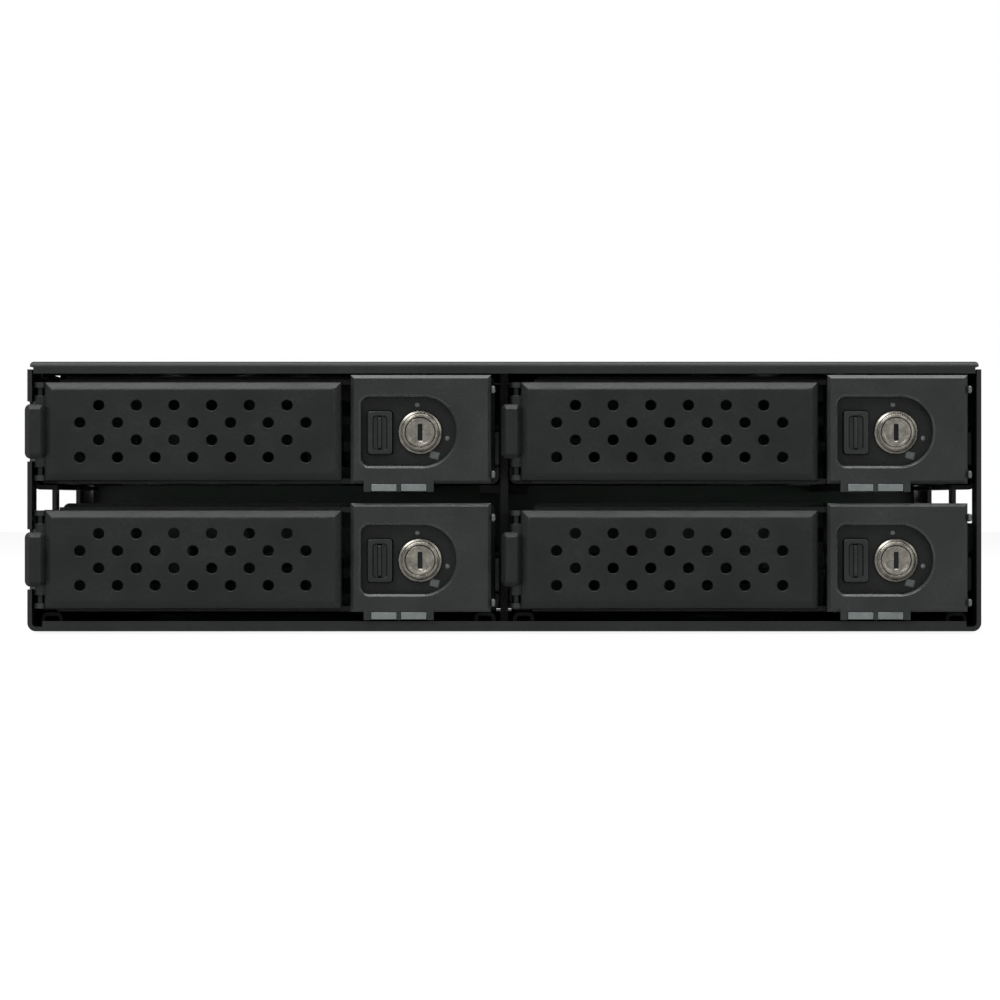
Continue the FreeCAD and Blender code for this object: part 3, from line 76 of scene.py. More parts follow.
# ------------------------------------------------------------------ colours and nodes
def linear(hex_colour: str) -> Tuple[float, float, float, float]:
    """Turn an sRGB hex colour to linear light.

    Formula: a channel c near black is c / 12.92, and any other is ((c + 0.055) / 1.055) to the 2.4.

    Args:
        hex_colour: six hex digits.

    Returns:
        Linear red, green and blue with full opacity.
    """
    channels = [int(hex_colour[i:i + 2], 16) / 255 for i in (0, 2, 4)]
    light = [c / 12.92 if c <= 0.04045 else ((c + 0.055) / 1.055) ** 2.4 for c in channels]
    return (light[0], light[1], light[2], 1.0)


def add(tree: bpy.types.NodeTree, kind: str, values: Optional[dict] = None,
        links: Optional[dict] = None, **settings: object) -> bpy.types.Node:
    """Add one shader node.

    Args:
        tree: the node tree.
        kind: the node's type name.
        values: socket name or index to its value.
        links: socket name or index to the output that feeds it.
        settings: the node's own properties.

    Returns:
        The new node.
    """
    node = tree.nodes.new(kind)
    for key, value in settings.items():
        setattr(node, key, value)
    for key, value in (values or {}).items():
        node.inputs[key].default_value = value
    for key, source in (links or {}).items():
        tree.links.new(source, node.inputs[key])
    return node


def per_metre(millimetres: float) -> float:
    """Texture scale at which one feature is this many millimetres wide."""
    return 1.0 / (millimetres * MM)


def empty_tree(holder: bpy.types.ID) -> bpy.types.NodeTree:
    """Turn on the nodes of a material or world and clear them.

    Args:
        holder: the material or world.

    Returns:
        Its node tree, with nothing in it.
    """
    holder.use_nodes = True
    holder.node_tree.nodes.clear()
    return holder.node_tree


class Grain(Enum):
    """How a surface was left by its making."""

    SPARK = "spark-eroded mould"
    POWDER = "powder coat"
    ROLLED = "rolled sheet"
    TURNED = "turned on a lathe"
    CLEAR = "polished mould"
    MASK = "solder mask over tracks"


# Sockets of a Mix node that blends colours.
MIX_BODY, MIX_TINT, MIX_OUT = 6, 7, 2
# Noise levels between which a patch fades in, and between which roughness drifts.
PATCH_FADE = (0.35, 0.7)
ROUGH_FADE = (0.3, 0.7)
# Height of the fine grain as a share of its width.
GRAIN_HEIGHT = 0.35
# Rolling lines are this much narrower than they are long.
ROLLING_STRETCH = (1.0, 0.06, 1.0)
# Width of a block of tracks under solder mask, in grains, and the gap between blocks.
TRACK_BLOCK = 6
TRACK_GAP = 0.03
TRACK_LEVELS = {"Color1": (0.2, 0.2, 0.2, 1), "Color2": (0.6, 0.6, 0.6, 1), "Mortar": (1, 1, 1, 1)}


@dataclass(frozen=True)
class Finish:
    """One finish: what the eye gets from a material and how its surface was made.

    Args:
        name: the material's name.
        body: sRGB hex of the plain surface.
        tint: sRGB hex that slow patches drift towards.
        grain: how the surface was made.
        grain_mm: size of the fine grain.
        roughness: middle roughness.
        spread: how far roughness drifts to each side.
        bump: strength of the fine grain.
        metallic: one for bare metal.
        specular: specular level, half for plain plastic.
        patch_mm: size of the slow patches.
        coat: strength of a clear layer.
    """

    name: str
    body: str
    tint: str
    grain: Grain
    grain_mm: float
    roughness: float
    spread: float = 0.05
    bump: float = 0.15
    metallic: float = 0.0
    specular: float = 0.5
    patch_mm: float = 9.0
    coat: float = 0.0

    def make(self) -> bpy.types.Material:
        """Build the material, once.

        Returns:
            The material of this name.
        """
        if self.name in bpy.data.materials:
            return bpy.data.materials[self.name]
        material = bpy.data.materials.new(self.name)
        tree = empty_tree(material)
        place = add(tree, "ShaderNodeTexCoord").outputs["Object"]
        slow = add(tree, "ShaderNodeTexNoise",
                   {"Scale": per_metre(self.patch_mm), "Detail": 4.0, "Roughness": 0.6},
                   {"Vector": place}).outputs["Fac"]
        fine = self.fine_grain(tree, place)
        patches = add(tree, "ShaderNodeMapRange", {"From Min": PATCH_FADE[0], "From Max": PATCH_FADE[1]},
                      {"Value": slow})
        blend = add(tree, "ShaderNodeMath", {}, {0: patches.outputs["Result"], 1: fine}, operation="MULTIPLY")
        colour = add(tree, "ShaderNodeMix", {MIX_BODY: linear(self.body), MIX_TINT: linear(self.tint)},
                     {"Factor": blend.outputs[0]}, data_type="RGBA")
        rough = add(tree, "ShaderNodeMapRange",
                    {"From Min": ROUGH_FADE[0], "From Max": ROUGH_FADE[1],
                     "To Min": self.roughness - self.spread, "To Max": self.roughness + self.spread},
                    {"Value": slow})
        relief = add(tree, "ShaderNodeBump",
                     {"Strength": self.bump, "Distance": self.grain_mm * MM * GRAIN_HEIGHT}, {"Height": fine})
        shader = add(tree, "ShaderNodeBsdfPrincipled",
                     {"Metallic": self.metallic, "Specular IOR Level": self.specular,
                      "Coat Weight": self.coat, "Coat Roughness": 0.2},
                     {"Base Color": colour.outputs[MIX_OUT], "Roughness": rough.outputs["Result"],
                      "Normal": relief.outputs["Normal"]})
        add(tree, "ShaderNodeOutputMaterial", {}, {"Surface": shader.outputs["BSDF"]})
        return material

    def fine_grain(self, tree: bpy.types.NodeTree, place: bpy.types.NodeSocket) -> bpy.types.NodeSocket:
        """The grain's height, from the way that the surface was made.

        Args:
            tree: the material's node tree.
            place: object coordinates.

        Returns:
            A socket between zero and one.
        """
        scale = per_metre(self.grain_mm)
        if self.grain is Grain.MASK:
            blocks = {"Scale": per_metre(self.grain_mm * TRACK_BLOCK), "Mortar Size": TRACK_GAP}
            tracks = add(tree, "ShaderNodeTexBrick", {**blocks, **TRACK_LEVELS}, {"Vector": place})
            return tracks.outputs["Color"]
        if self.grain is Grain.SPARK:
            cells = add(tree, "ShaderNodeTexVoronoi", {"Scale": scale}, {"Vector": place},
                        feature="SMOOTH_F1")
            return cells.outputs["Distance"]
        if self.grain is Grain.ROLLED:
            place = add(tree, "ShaderNodeMapping", {"Scale": ROLLING_STRETCH}, {"Vector": place}).outputs[0]
        detail = {Grain.ROLLED: 3.0, Grain.POWDER: 5.0}.get(self.grain, 2.0)
        noise = add(tree, "ShaderNodeTexNoise", {"Scale": scale, "Detail": detail}, {"Vector": place})
        return noise.outputs["Fac"]


# Black ABS from a spark-eroded mould: an even, soft sheen with a fine leathery grain.
FRONT_ABS = Finish("black_spark_abs", "0a0c0b", "161b19", Grain.SPARK, 0.42, 0.42, 0.07, 0.3, specular=0.19)
# The same plastic from a finer mould: the latch housings have a little more sheen.
HOUSING_ABS = Finish("black_fine_abs", "0d100f", "1c2220", Grain.SPARK, 0.34, 0.33, 0.06, 0.2, specular=0.3)
# The same plastic, polished by fingers where the latch is pressed.
BUTTON_ABS = Finish("handled_black_abs", "0c0f0e", "1c2120", Grain.SPARK, 0.36, 0.3, 0.06, 0.12,
                    specular=0.26)
# Tips of the guide tabs: painted highlight, a pale grey that stands for the light caught on their rounded
# tips, on a smooth and glossy black plastic.
TAB_TIP_HIGHLIGHT_ABS = Finish("black_abs_tab_tip_painted_highlight", "303534", "444a48", Grain.SPARK, 0.4, 0.22, 0.05, 0.05,
                    specular=0.55)
# Chamfer round the mouth of the recess: painted highlight, a lighter grey that stands for the line of light
# along its edge, on a smoother and glossier plastic.
MOUTH_HIGHLIGHT_ABS = Finish("black_abs_mouth_painted_highlight", "1b201f", "2a302e", Grain.SPARK, 0.36, 0.27, 0.05, 0.1, specular=0.4)
# Pale ink of the two dots that show the key's positions, and of the lozenge, whose pale colour also paints
# the highlight at the lower right of the recess.
PALE_INK_AND_HIGHLIGHT = Finish("pale_ink_and_painted_highlight", "4a504e", "626967", Grain.SPARK, 0.3, 0.4, 0.05, 0.1, specular=0.3)
# Black powder coat on folded steel: slight orange peel, satin.
POWDER_STEEL = Finish("black_powder_coated_steel", "0c0e0e", "181c1b", Grain.POWDER, 0.5, 0.42, 0.03, 0.2,
                      specular=0.2, patch_mm=14)
# Thin black electrocoat on the tray sheet: smoother than powder coat.
TRAY_COAT = Finish("black_electrocoated_steel", "101213", "1c2021", Grain.POWDER, 0.35, 0.36, 0.06, 0.1,
                   specular=0.25)
# Zinc plated steel: cool grey with the sheet's rolling lines.
ZINC_STEEL = Finish("zinc_plated_steel", "8f9496", "a9adae", Grain.ROLLED, 0.3, 0.4, 0.08, 0.1,
                    metallic=1.0)
# Spring steel, blued and oiled: near black and streaky.
SPRING_STEEL = Finish("blued_spring_steel", "1d1f20", "303234", Grain.ROLLED, 0.2, 0.34, 0.06, 0.1,
                      metallic=1.0)
# Bright nickel on die-cast zinc: warm silver, cloudy from handling.
BRIGHT_NICKEL = Finish("bright_nickel_die_cast", "625f59", "9a978d", Grain.TURNED, 0.3, 0.27, 0.06, 0.1,
                       metallic=1.0, patch_mm=1.2)
# Frosted clear polycarbonate: pale grey when its lamp is off.
CLEAR_PIPE = Finish("frosted_light_pipe", "444949", "565c5b", Grain.CLEAR, 0.6, 0.35, 0.05, 0.05,
                    patch_mm=2.0)
# Green solder mask over copper tracks on glass epoxy.
SOLDER_MASK = Finish("green_solder_mask", "16402a", "1f5233", Grain.MASK, 0.5, 0.35, 0.05, 0.1, coat=0.3)
# Glass-filled nylon of connectors: dead black and matt.
CONNECTOR_NYLON = Finish("black_connector_nylon", "151617", "222425", Grain.SPARK, 0.3, 0.55, 0.05, 0.15,
                         specular=0.35)
# Epoxy bodies of chips and headers: black and matt.
CHIP_EPOXY = Finish("black_chip_epoxy", "1d1d1e", "2c2c2d", Grain.SPARK, 0.2, 0.5, 0.05, 0.1, specular=0.35)
# Glass-filled polyester of the fans: slight flow marks.
FAN_PBT = Finish("black_fan_polyester", "151718", "222628", Grain.SPARK, 0.4, 0.44, 0.06, 0.12,
                 specular=0.4)
# Black oxide on steel screws: dark brown-black with a thin oil sheen.
OXIDE_SCREW = Finish("black_oxide_screw", "26282a", "3a3b3c", Grain.TURNED, 0.2, 0.36, 0.06, 0.1,
                     metallic=0.7)
# Dark acetal of the sliding catch: even and slightly waxy.
CATCH_ACETAL = Finish("grey_acetal", "2f3233", "3e4243", Grain.CLEAR, 0.4, 0.4, 0.05, 0.05)

FINISH_OF_SLOT: Dict[str, Finish] = {
    "cage_steel": POWDER_STEEL,
    "plated_steel": ZINC_STEEL,
    "tray_steel": TRAY_COAT,
    "front_plastic": FRONT_ABS,
    "button_plastic": BUTTON_ABS,
    "catch_plastic": CATCH_ACETAL,
    "spring_steel": SPRING_STEEL,
    "lock_metal": BRIGHT_NICKEL,
    "plug_metal": BRIGHT_NICKEL,
    "clear_plastic": CLEAR_PIPE,
    "circuit_board": SOLDER_MASK,
    "connector_plastic": CONNECTOR_NYLON,
    "board_component": CHIP_EPOXY,
    "fan_plastic": FAN_PBT,
    "black_screw": OXIDE_SCREW,
}
SLOT_OF_NODE: Dict[str, str] = {part["node"]: part["material_slot"] for part in frame["record"]["subparts"]}


def dress(piece: bpy.types.Object, finish: Finish) -> None:
    """Give a piece one finish in place of whatever it has."""
    piece.data.materials.clear()
    piece.data.materials.append(finish.make())


def plain_finish(node: str) -> Finish:
    """The finish of a node's material slot."""
    return FINISH_OF_SLOT[SLOT_OF_NODE[node]]


# ------------------------------------------------------------------ pieces from the frame, with soft edges
# Metres within which a CAD node's corners are one, and degrees within which its triangles are one face.
SAME_CORNER = 2e-6
SAME_FACE = 0.6
# Least angle of an edge that is rolled over, in degrees, and the steps across the round.
ROLLED_ANGLE = 32.0
ROLLED_STEPS = 2
# How strongly the larger faces hold their own shading.
LEVEL_WEIGHT = 80


def level(piece: bpy.types.Object) -> None:
    """Weigh shading by face area, so that flat faces look flat beside their rolled edges.

    Args:
        piece: the piece.
    """
    even = piece.modifiers.new("level_shading", "WEIGHTED_NORMAL")
    even.keep_sharp = True
    even.weight = LEVEL_WEIGHT


def place_in_scene(name: str, mesh: bpy.types.Mesh, smooth: float) -> bpy.types.Object:
    """Shade a mesh smooth up to an edge angle and put it in the scene.

    Args:
        name: the piece's name.
        mesh: its mesh.
        smooth: greatest edge angle that is still shaded smooth, in degrees.

    Returns:
        The new piece.
    """
    mesh.shade_smooth()
    mesh.set_sharp_from_angle(angle=math.radians(smooth))
    piece = bpy.data.objects.new(name, mesh)
    bpy.context.scene.collection.objects.link(piece)
    return piece


def softened(node: str, width_mm: float, finish: Finish) -> bpy.types.Object:
    """A copy of a CAD node with its sharp edges rolled over, which stands for that node.

    The copy's triangles are merged into flat faces first, then each edge sharper than the angle gets a
    narrow round, because moulded and folded edges catch a line of light.

    Args:
        node: the CAD node.
        width_mm: width of the round, or zero for none.
        finish: its finish.

    Returns:
        The new piece.
    """
    mesh = frame["nodes"][node].data.copy()
    shape = bmesh.new()
    shape.from_mesh(mesh)
    bmesh.ops.remove_doubles(shape, verts=shape.verts, dist=SAME_CORNER)
    bmesh.ops.dissolve_limit(shape, angle_limit=math.radians(SAME_FACE), verts=shape.verts, edges=shape.edges)
    shape.to_mesh(mesh)
    shape.free()
    piece = place_in_scene("fine_" + node, mesh, ROLLED_ANGLE)
    if width_mm > 0:
        bevel = piece.modifiers.new("soft_edges", "BEVEL")
        bevel.width = width_mm * MM
        bevel.segments = ROLLED_STEPS
        bevel.limit_method = "ANGLE"
        bevel.angle_limit = math.radians(ROLLED_ANGLE)
        bevel.use_clamp_overlap = True
    level(piece)
    dress(piece, finish)
    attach(piece, frame["nodes"][node]["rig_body"])
    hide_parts(node)
    return piece


# ------------------------------------------------------------------ surfaces worked out as arrays
# Points in each rounded corner, and rings in each rolled edge.
CORNER_STEPS = 5
EDGE_STEPS = 4
# Least radii in millimetres, which keep a ring's points apart.
LEAST_CORNER = 0.01
LEAST_RADIUS = 0.002
# Metres within which a new piece's points are one.
SAME_POINT = 1e-6
# Greatest edge angle that is shaded smooth on mouldings and on turned metal, in degrees.
SMOOTH_MOULDED = 34.0
SMOOTH_TURNED = 40.0


def rounded_ring(low: Sequence[float], high: Sequence[float], radius: float, inset: float = 0.0) -> Array:
    """Points round a rectangle with rounded corners.

    Formula: corner centre c, then c + r (cos a, sin a), with r = radius - inset and a over a quarter turn.

    Args:
        low: lowest corner.
        high: highest corner.
        radius: corner radius of the full rectangle.
        inset: how far the ring is drawn in.

    Returns:
        Points, four corners' worth by 2, anticlockwise.
    """
    held = max(radius, inset + LEAST_CORNER)
    turn = np.linspace(0.0, np.pi / 2, CORNER_STEPS)
    start = np.array([0.0, np.pi / 2, np.pi, 3 * np.pi / 2])[:, None]
    angle = start + turn[None, :]
    centre = np.array([[high[0] - held, high[1] - held], [low[0] + held, high[1] - held],
                       [low[0] + held, low[1] + held], [high[0] - held, low[1] + held]])
    ring = centre[:, None, :] + (held - inset) * np.stack([np.cos(angle), np.sin(angle)], axis=2)
    return ring.reshape(-1, 2)


def circle(centre: Sequence[float], radius: float, count: int) -> Array:
    """Points round a circle: centre + radius (cos a, sin a)."""
    angle = np.arange(count) * 2 * np.pi / count
    return np.asarray(centre, float) + radius * np.stack([np.cos(angle), np.sin(angle)], axis=1)


def strip_faces(rings: int, count: int) -> Array:
    """Four-sided faces between closed rings of points.

    Formula: face (i, j) joins points (i, j), (i, j + 1), (i + 1, j + 1) and (i + 1, j).

    Args:
        rings: how many rings there are.
        count: points in each ring.

    Returns:
        Faces, m by 4, numbered from the first ring's first point.
    """
    i, j = np.meshgrid(np.arange(rings - 1), np.arange(count), indexing="ij")
    k = (j + 1) % count
    faces = np.stack([i * count + j, i * count + k, (i + 1) * count + k, (i + 1) * count + j], axis=-1)
    return faces.reshape(-1, 4)


class Facing(Enum):
    """Which way a carried profile runs: the plane its rings lie in."""

    FRONT = "xz"
    UP = "xy"


@dataclass
class Shell:
    """Points and faces gathered for one piece, in millimetres about its bay."""

    points: List[Array]
    faces: List[Tuple[int, ...]]

    @classmethod
    def empty(cls) -> "Shell":
        """A shell with nothing in it."""
        return cls([], [])

    def count(self) -> int:
        """How many points there are."""
        return sum(len(block) for block in self.points)

    def take(self, points: Array, faces: Array) -> None:
        """Add points and the faces that join them.

        Args:
            points: n by 3.
            faces: m by 3 or more, numbered from this block's first point.
        """
        first = self.count()
        self.points.append(np.asarray(points, float))
        self.faces.extend(map(tuple, (np.asarray(faces) + first).tolist()))

    def carry(self, rings: Sequence[Array], depths: Sequence[float], facing: Facing = Facing.FRONT,
              capped: bool = True) -> None:
        """Carry a closed profile along a straight path, with one ring at each depth.

        Formula: point j of ring k is that ring's own two coordinates in its plane, with depth k across it.

        Args:
            rings: rings of points, all of one length.
            depths: where each ring lies along the path.
            facing: the plane of the rings.
            capped: whether the two ends are closed.
        """
        flat = np.stack(rings)
        away = np.broadcast_to(np.asarray(depths, float)[:, None, None], flat.shape[:2] + (1,))
        order = [0, 2, 1] if facing is Facing.FRONT else [0, 1, 2]
        solid = np.concatenate([flat, away], axis=2)[:, :, order]
        first, count = self.count(), flat.shape[1]
        self.take(solid.reshape(-1, 3), strip_faces(len(rings), count))
        if capped:
            for start in (first, first + (len(rings) - 1) * count):
                self.faces.append(tuple(range(start, start + count)))

    def turn(self, profile: Sequence[Tuple[float, float]], centre: Sequence[float], count: int,
             facing: Facing = Facing.FRONT, capped: bool = True) -> None:
        """Turn a profile of (radius, depth) pairs round an axis: centre + radius (cos a, sin a)."""
        rings = [circle(centre, max(radius, LEAST_RADIUS), count) for radius, _ in profile]
        self.carry(rings, [depth for _, depth in profile], facing, capped)

    def block(self, low: Sequence[float], high: Sequence[float], edge: float, corner: float = 0.0) -> None:
        """A block whose corners and two ends are rolled over, with its rings in the front plane.

        Formula: at the ends the ring is drawn in by edge (1 - sin a) while it moves edge (1 - cos a).

        Args:
            low: lowest corner.
            high: highest corner.
            edge: radius of the rolled edges.
            corner: corner radius in the front plane, edge if less.
        """
        bend = np.linspace(0.0, np.pi / 2, EDGE_STEPS)
        inset = np.concatenate([edge * (1 - np.sin(bend)), edge * (1 - np.cos(bend))])
        depth = np.concatenate([low[1] + edge * (1 - np.cos(bend)), high[1] - edge * (1 - np.sin(bend))])
        rings = [rounded_ring((low[0], low[2]), (high[0], high[2]), max(corner, edge), drawn)
                 for drawn in inset]
        self.carry(rings, depth)

    def piece(self, name: str, body: str, slot: str, finish: Finish, move: Array,
              smooth: float = SMOOTH_MOULDED) -> bpy.types.Object:
        """Make the mesh, dress it and put it on its body.

        Args:
            name: the piece's name.
            body: the CAD body it rides on.
            slot: the record's material slot; not used.
            finish: its finish.
            move: the bay's place in millimetres.
            smooth: greatest edge angle that is still shaded smooth, in degrees.

        Returns:
            The new piece.
        """
        mesh = bpy.data.meshes.new(name)
        points = (np.concatenate(self.points) + np.asarray(move)) * MM
        mesh.from_pydata(points.tolist(), [], self.faces)
        shape = bmesh.new()
        shape.from_mesh(mesh)
        bmesh.ops.remove_doubles(shape, verts=shape.verts, dist=SAME_POINT)
        bmesh.ops.recalc_face_normals(shape, faces=shape.faces)
        shape.to_mesh(mesh)
        shape.free()
        piece = place_in_scene(name, mesh, smooth)
        level(piece)
        dress(piece, finish)
        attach(piece, body)
        return piece


# ------------------------------------------------------------------ the front of one tray
# Where the trays' faces lie along Y, and where a bay's hinge pin stands about its bay.
FACE = -71.0
PIN_X = -34.6
PIN_FOOT = 0.5
# How far one part of a shell reaches into the next.
LAP = 0.05


def bay_place(bay: str) -> Array:
    """Where a bay's pieces are drawn from, read from its hinge pin.

    Args:
        bay: the bay's name.

    Returns:
        Millimetres to add to a piece drawn about its bay.
    """
    low, high = (np.array(corner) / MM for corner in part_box("lever_pin_" + bay))
    return np.array([(low[0] + high[0]) / 2 - PIN_X, 0.0, low[2] - PIN_FOOT])


# Edge of the lever's tail, front to back: how far it is drawn in, and how far behind the face it lies.
TAIL_EDGE = ((0.86, 0.0), (0.76, 0.03), (0.7, 0.1), (0.12, 0.68), (0.03, 0.78), (0.0, 0.86), (0.0, 1.1),
             (0.06, 1.2))


@dataclass
class Lever:
    """Swinging front: a bevelled plate with staggered air holes, ribs, knuckle, tail and hook.

    All sizes are millimetres about the bay. cell_steps and row_steps count the points along a cell's sides.
    """

    bay: str
    left: float = -33.95
    right: float = 11.6
    low: float = 0.4
    high: float = 15.6
    bevel: float = 1.2
    bevel_depth: float = 0.9
    thick: float = 1.6
    edge: float = 0.2
    edge_dip: float = 0.02
    hole: float = 0.82
    hole_chamfer: float = 0.12
    pitch: float = 5.76
    row_pitch: float = 2.65
    across: int = 7
    rows: int = 4
    middle_x: float = -11.175
    middle_z: float = 8.0
    cell_steps: int = 8
    row_steps: int = 4
    rib_start: float = 4.0
    rib_inset: float = 0.7
    rib_thick: float = 1.0
    rib_depth: float = 2.2
    rib_edge: float = 0.18
    pin_y: float = -69.3
    knuckle_low: float = 2.5
    knuckle_high: float = 13.5
    knuckle_bore: float = 0.65
    knuckle_radius: float = 1.0
    knuckle_edge: float = 0.08
    knuckle_steps: int = 40
    web_front: float = 0.9
    web_reach: float = 1.5
    web_edge: float = 0.15
    tail_left: float = -36.95
    tail_low: float = 3.8
    tail_high: float = 12.2
    tail_corner: float = 0.9
    tail_lap: float = 0.2
    hook_width: float = 1.2
    hook_low: float = 4.2
    hook_high: float = 7.4
    hook_end: float = -61.7
    hook_edge: float = 0.08
    eye_low: float = 5.0
    eye_high: float = 6.6
    eye_front: float = -64.9
    eye_back: float = -62.5
    eye_lap: float = 0.1

    @property
    def back(self) -> float:
        """Where the plate's back lies along Y."""
        return FACE + self.thick

    def field_size(self) -> Array:
        """Width and height of the field of holes."""
        return np.array([self.across * self.pitch, self.rows * self.row_pitch])

    def field_low(self) -> Array:
        """Lowest corner of the field of holes."""
        return np.array([self.middle_x, self.middle_z]) - self.field_size() / 2

    def cell_ring(self) -> Array:
        """Points round one cell about its middle, anticlockwise from its lower left corner.

        Formula: each side is divided evenly, so that neighbours share their points.

        Returns:
            Points, 24 by 2.
        """
        u = np.linspace(-0.5, 0.5, self.cell_steps + 1) * self.pitch
        v = np.linspace(-0.5, 0.5, self.row_steps + 1) * self.row_pitch
        bottom = np.stack([u[:-1], np.full(self.cell_steps, v[0])], axis=1)
        side = np.stack([np.full(self.row_steps, u[-1]), v[:-1]], axis=1)
        return np.concatenate([bottom, side, -bottom, -side])

    def hole_places(self) -> Array:
        """Middles of the holes: rows of seven and six, each row half a pitch along from the last.

        Returns:
            Points, 26 by 2.
        """
        low = self.field_low()
        rows = []
        for row in range(self.rows):
            short = row % 2
            x = low[0] + (np.arange(self.across - short) + 0.5 + short / 2) * self.pitch
            rows.append(np.stack([x, np.full(len(x), low[1] + (row + 0.5) * self.row_pitch)], axis=1))
        return np.concatenate(rows)

    def field(self, shell: Shell, places: Array) -> None:
        """Front skin, hole walls and back skin of every holed cell.

        Formula: the rings of a cell are its edge, then circles of radius r + c, r + c/3, r, r and r + c/2,
        and its edge again at the back, all in step by angle.

        Args:
            shell: gathers the faces.
            places: middles of the holes.
        """
        edge = self.cell_ring()
        angle = np.arctan2(edge[:, 1], edge[:, 0])
        ring = np.stack([np.cos(angle), np.sin(angle)], axis=1)
        hole, chamfer, back = self.hole, self.hole_chamfer, self.back
        radii = [hole + chamfer, hole + chamfer / 3, hole, hole, hole + chamfer / 2]
        depth = np.array([FACE, FACE, FACE + chamfer / 2, FACE + chamfer * 1.4,
                          back - chamfer / 2, back, back])
        flat = np.stack([edge] + [ring * radius for radius in radii] + [edge])
        away = np.broadcast_to(depth[:, None, None], flat.shape[:2] + (1,))
        cell = np.concatenate([flat, away], axis=2)[:, :, [0, 2, 1]]
        shift = np.stack([places[:, 0], np.zeros(len(places)), places[:, 1]], axis=1)
        every = cell.reshape(1, -1, 3) + shift[:, None, :]
        faces = strip_faces(len(flat), len(edge))
        step = (np.arange(len(places)) * len(flat) * len(edge))[:, None, None]
        shell.take(every.reshape(-1, 3), (faces[None] + step).reshape(-1, 4))

    def plain_ends(self, shell: Shell) -> None:
        """Skins of the half cells at the ends of the short rows, front and back: an even grid.

        Args:
            shell: gathers the faces.
        """
        low = self.field_low()
        half = self.cell_steps // 2
        i, j = np.meshgrid(np.arange(half), np.arange(self.row_steps), indexing="ij")
        a = (i * (self.row_steps + 1) + j).ravel()
        faces = np.stack([a, a + 1, a + self.row_steps + 2, a + self.row_steps + 1], axis=1)
        for row in range(1, self.rows, 2):
            v = low[1] + (row + np.linspace(0, 1, self.row_steps + 1)) * self.row_pitch
            for start in (low[0], low[0] + (self.across - 0.5) * self.pitch):
                u = start + np.linspace(0, self.pitch / 2, half + 1)
                u_grid, v_grid = np.meshgrid(u, v, indexing="ij")
                for y in (FACE, self.back):
                    points = np.stack([u_grid, np.full(u_grid.shape, y), v_grid], axis=-1)
                    shell.take(points.reshape(-1, 3), faces)

    def rim(self, shell: Shell) -> None:
        """Skin from the field of holes over the bevelled edge and round to the back.

        Formula: a point at share s along a side of the field goes to share s of the plate's side, drawn in by
        the profile's inset at each depth.

        Args:
            shell: gathers the faces.
        """
        steps_u, steps_v = self.across * self.cell_steps, self.rows * self.row_steps
        u, v = np.arange(steps_u) / steps_u, np.arange(steps_v) / steps_v
        share = np.concatenate([np.stack([u, 0 * u], 1), np.stack([0 * v + 1, v], 1),
                                np.stack([1 - u, 0 * u + 1], 1), np.stack([0 * v, 1 - v], 1)])
        field = self.field_low() + share * self.field_size()
        back, bevel, foot = self.back, self.bevel, FACE + self.bevel_depth
        roll, most, least, dip = self.edge, self.edge * 0.75, self.edge * 0.3, self.edge_dip
        profile = [(bevel + roll, FACE), (bevel, FACE + dip), (bevel - roll, FACE + most),
                   (roll, foot - most), (least, foot - dip), (0.0, foot + roll),
                   (0.0, back - roll), (least, back - least), (roll, back)]
        low, high = np.array([self.left, self.low]), np.array([self.right, self.high])
        rings = [low + inset + share * (high - low - 2 * inset) for inset, _ in profile]
        depths = [FACE] + [depth for _, depth in profile] + [back]
        shell.carry([field] + rings + [field], depths, capped=False)

    def ribs(self, shell: Shell) -> None:
        """Stiffening ribs behind the plate's two long edges.

        Args:
            shell: gathers the faces.
        """
        for low in (self.low + self.rib_inset, self.high - self.rib_inset - self.rib_thick):
            shell.block((self.left + self.rib_start, self.back - LAP, low),
                        (self.right, self.back + self.rib_depth, low + self.rib_thick), self.rib_edge)

    def knuckle(self, shell: Shell) -> None:
        """Bored knuckle that turns on the pin, and the web that joins it to the plate.

        Formula: the knuckle's wall, from bore to outside and back, is a profile turned round the pin.

        Args:
            shell: gathers the faces.
        """
        low, high = self.knuckle_low, self.knuckle_high
        bore, outside, roll = self.knuckle_bore, self.knuckle_radius, self.knuckle_edge
        shell.block((PIN_X, FACE + self.web_front, low), (self.left + self.web_reach, self.back, high),
                    self.web_edge)
        shell.turn([(bore, low), (outside - roll, low), (outside, low + roll), (outside, high - roll),
                    (outside - roll, high), (bore, high), (bore, low)],
                   (PIN_X, self.pin_y), self.knuckle_steps, Facing.UP, capped=False)

    def tail(self, shell: Shell) -> None:
        """Short tail that keeps the swinging end in line: a plate with a rolled bevel all round.

        Args:
            shell: gathers the faces.
        """
        low, high = (self.tail_left, self.tail_low), (self.left + self.tail_lap, self.tail_high)
        rings = [rounded_ring(low, high, self.tail_corner, inset) for inset, _ in TAIL_EDGE]
        shell.carry(rings, [FACE + depth for _, depth in TAIL_EDGE])

    def hook(self, shell: Shell) -> None:
        """Hook that the catch holds: four bars round an eye, each with rolled edges.

        Args:
            shell: gathers the faces.
        """
        side_front, side_back = self.eye_front - self.eye_lap, self.eye_back + self.eye_lap
        for near, far, bottom, top in ((self.back - LAP, self.eye_front, self.hook_low, self.hook_high),
                                       (self.eye_back, self.hook_end, self.hook_low, self.hook_high),
                                       (side_front, side_back, self.hook_low, self.eye_low),
                                       (side_front, side_back, self.eye_high, self.hook_high)):
            shell.block((self.right - self.hook_width, near, bottom), (self.right, far, top), self.hook_edge)

    def build(self) -> bpy.types.Object:
        """Build the lever and put it in the CAD lever's place.

        Returns:
            The lever.
        """
        shell = Shell.empty()
        self.field(shell, self.hole_places())
        self.plain_ends(shell)
        self.rim(shell)
        self.ribs(shell)
        self.knuckle(shell)
        self.tail(shell)
        self.hook(shell)
        lever = shell.piece("front_lever_" + self.bay, "lever_" + self.bay, "front_plastic", FRONT_ABS,
                            bay_place(self.bay))
        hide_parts("lever_" + self.bay)
        return lever


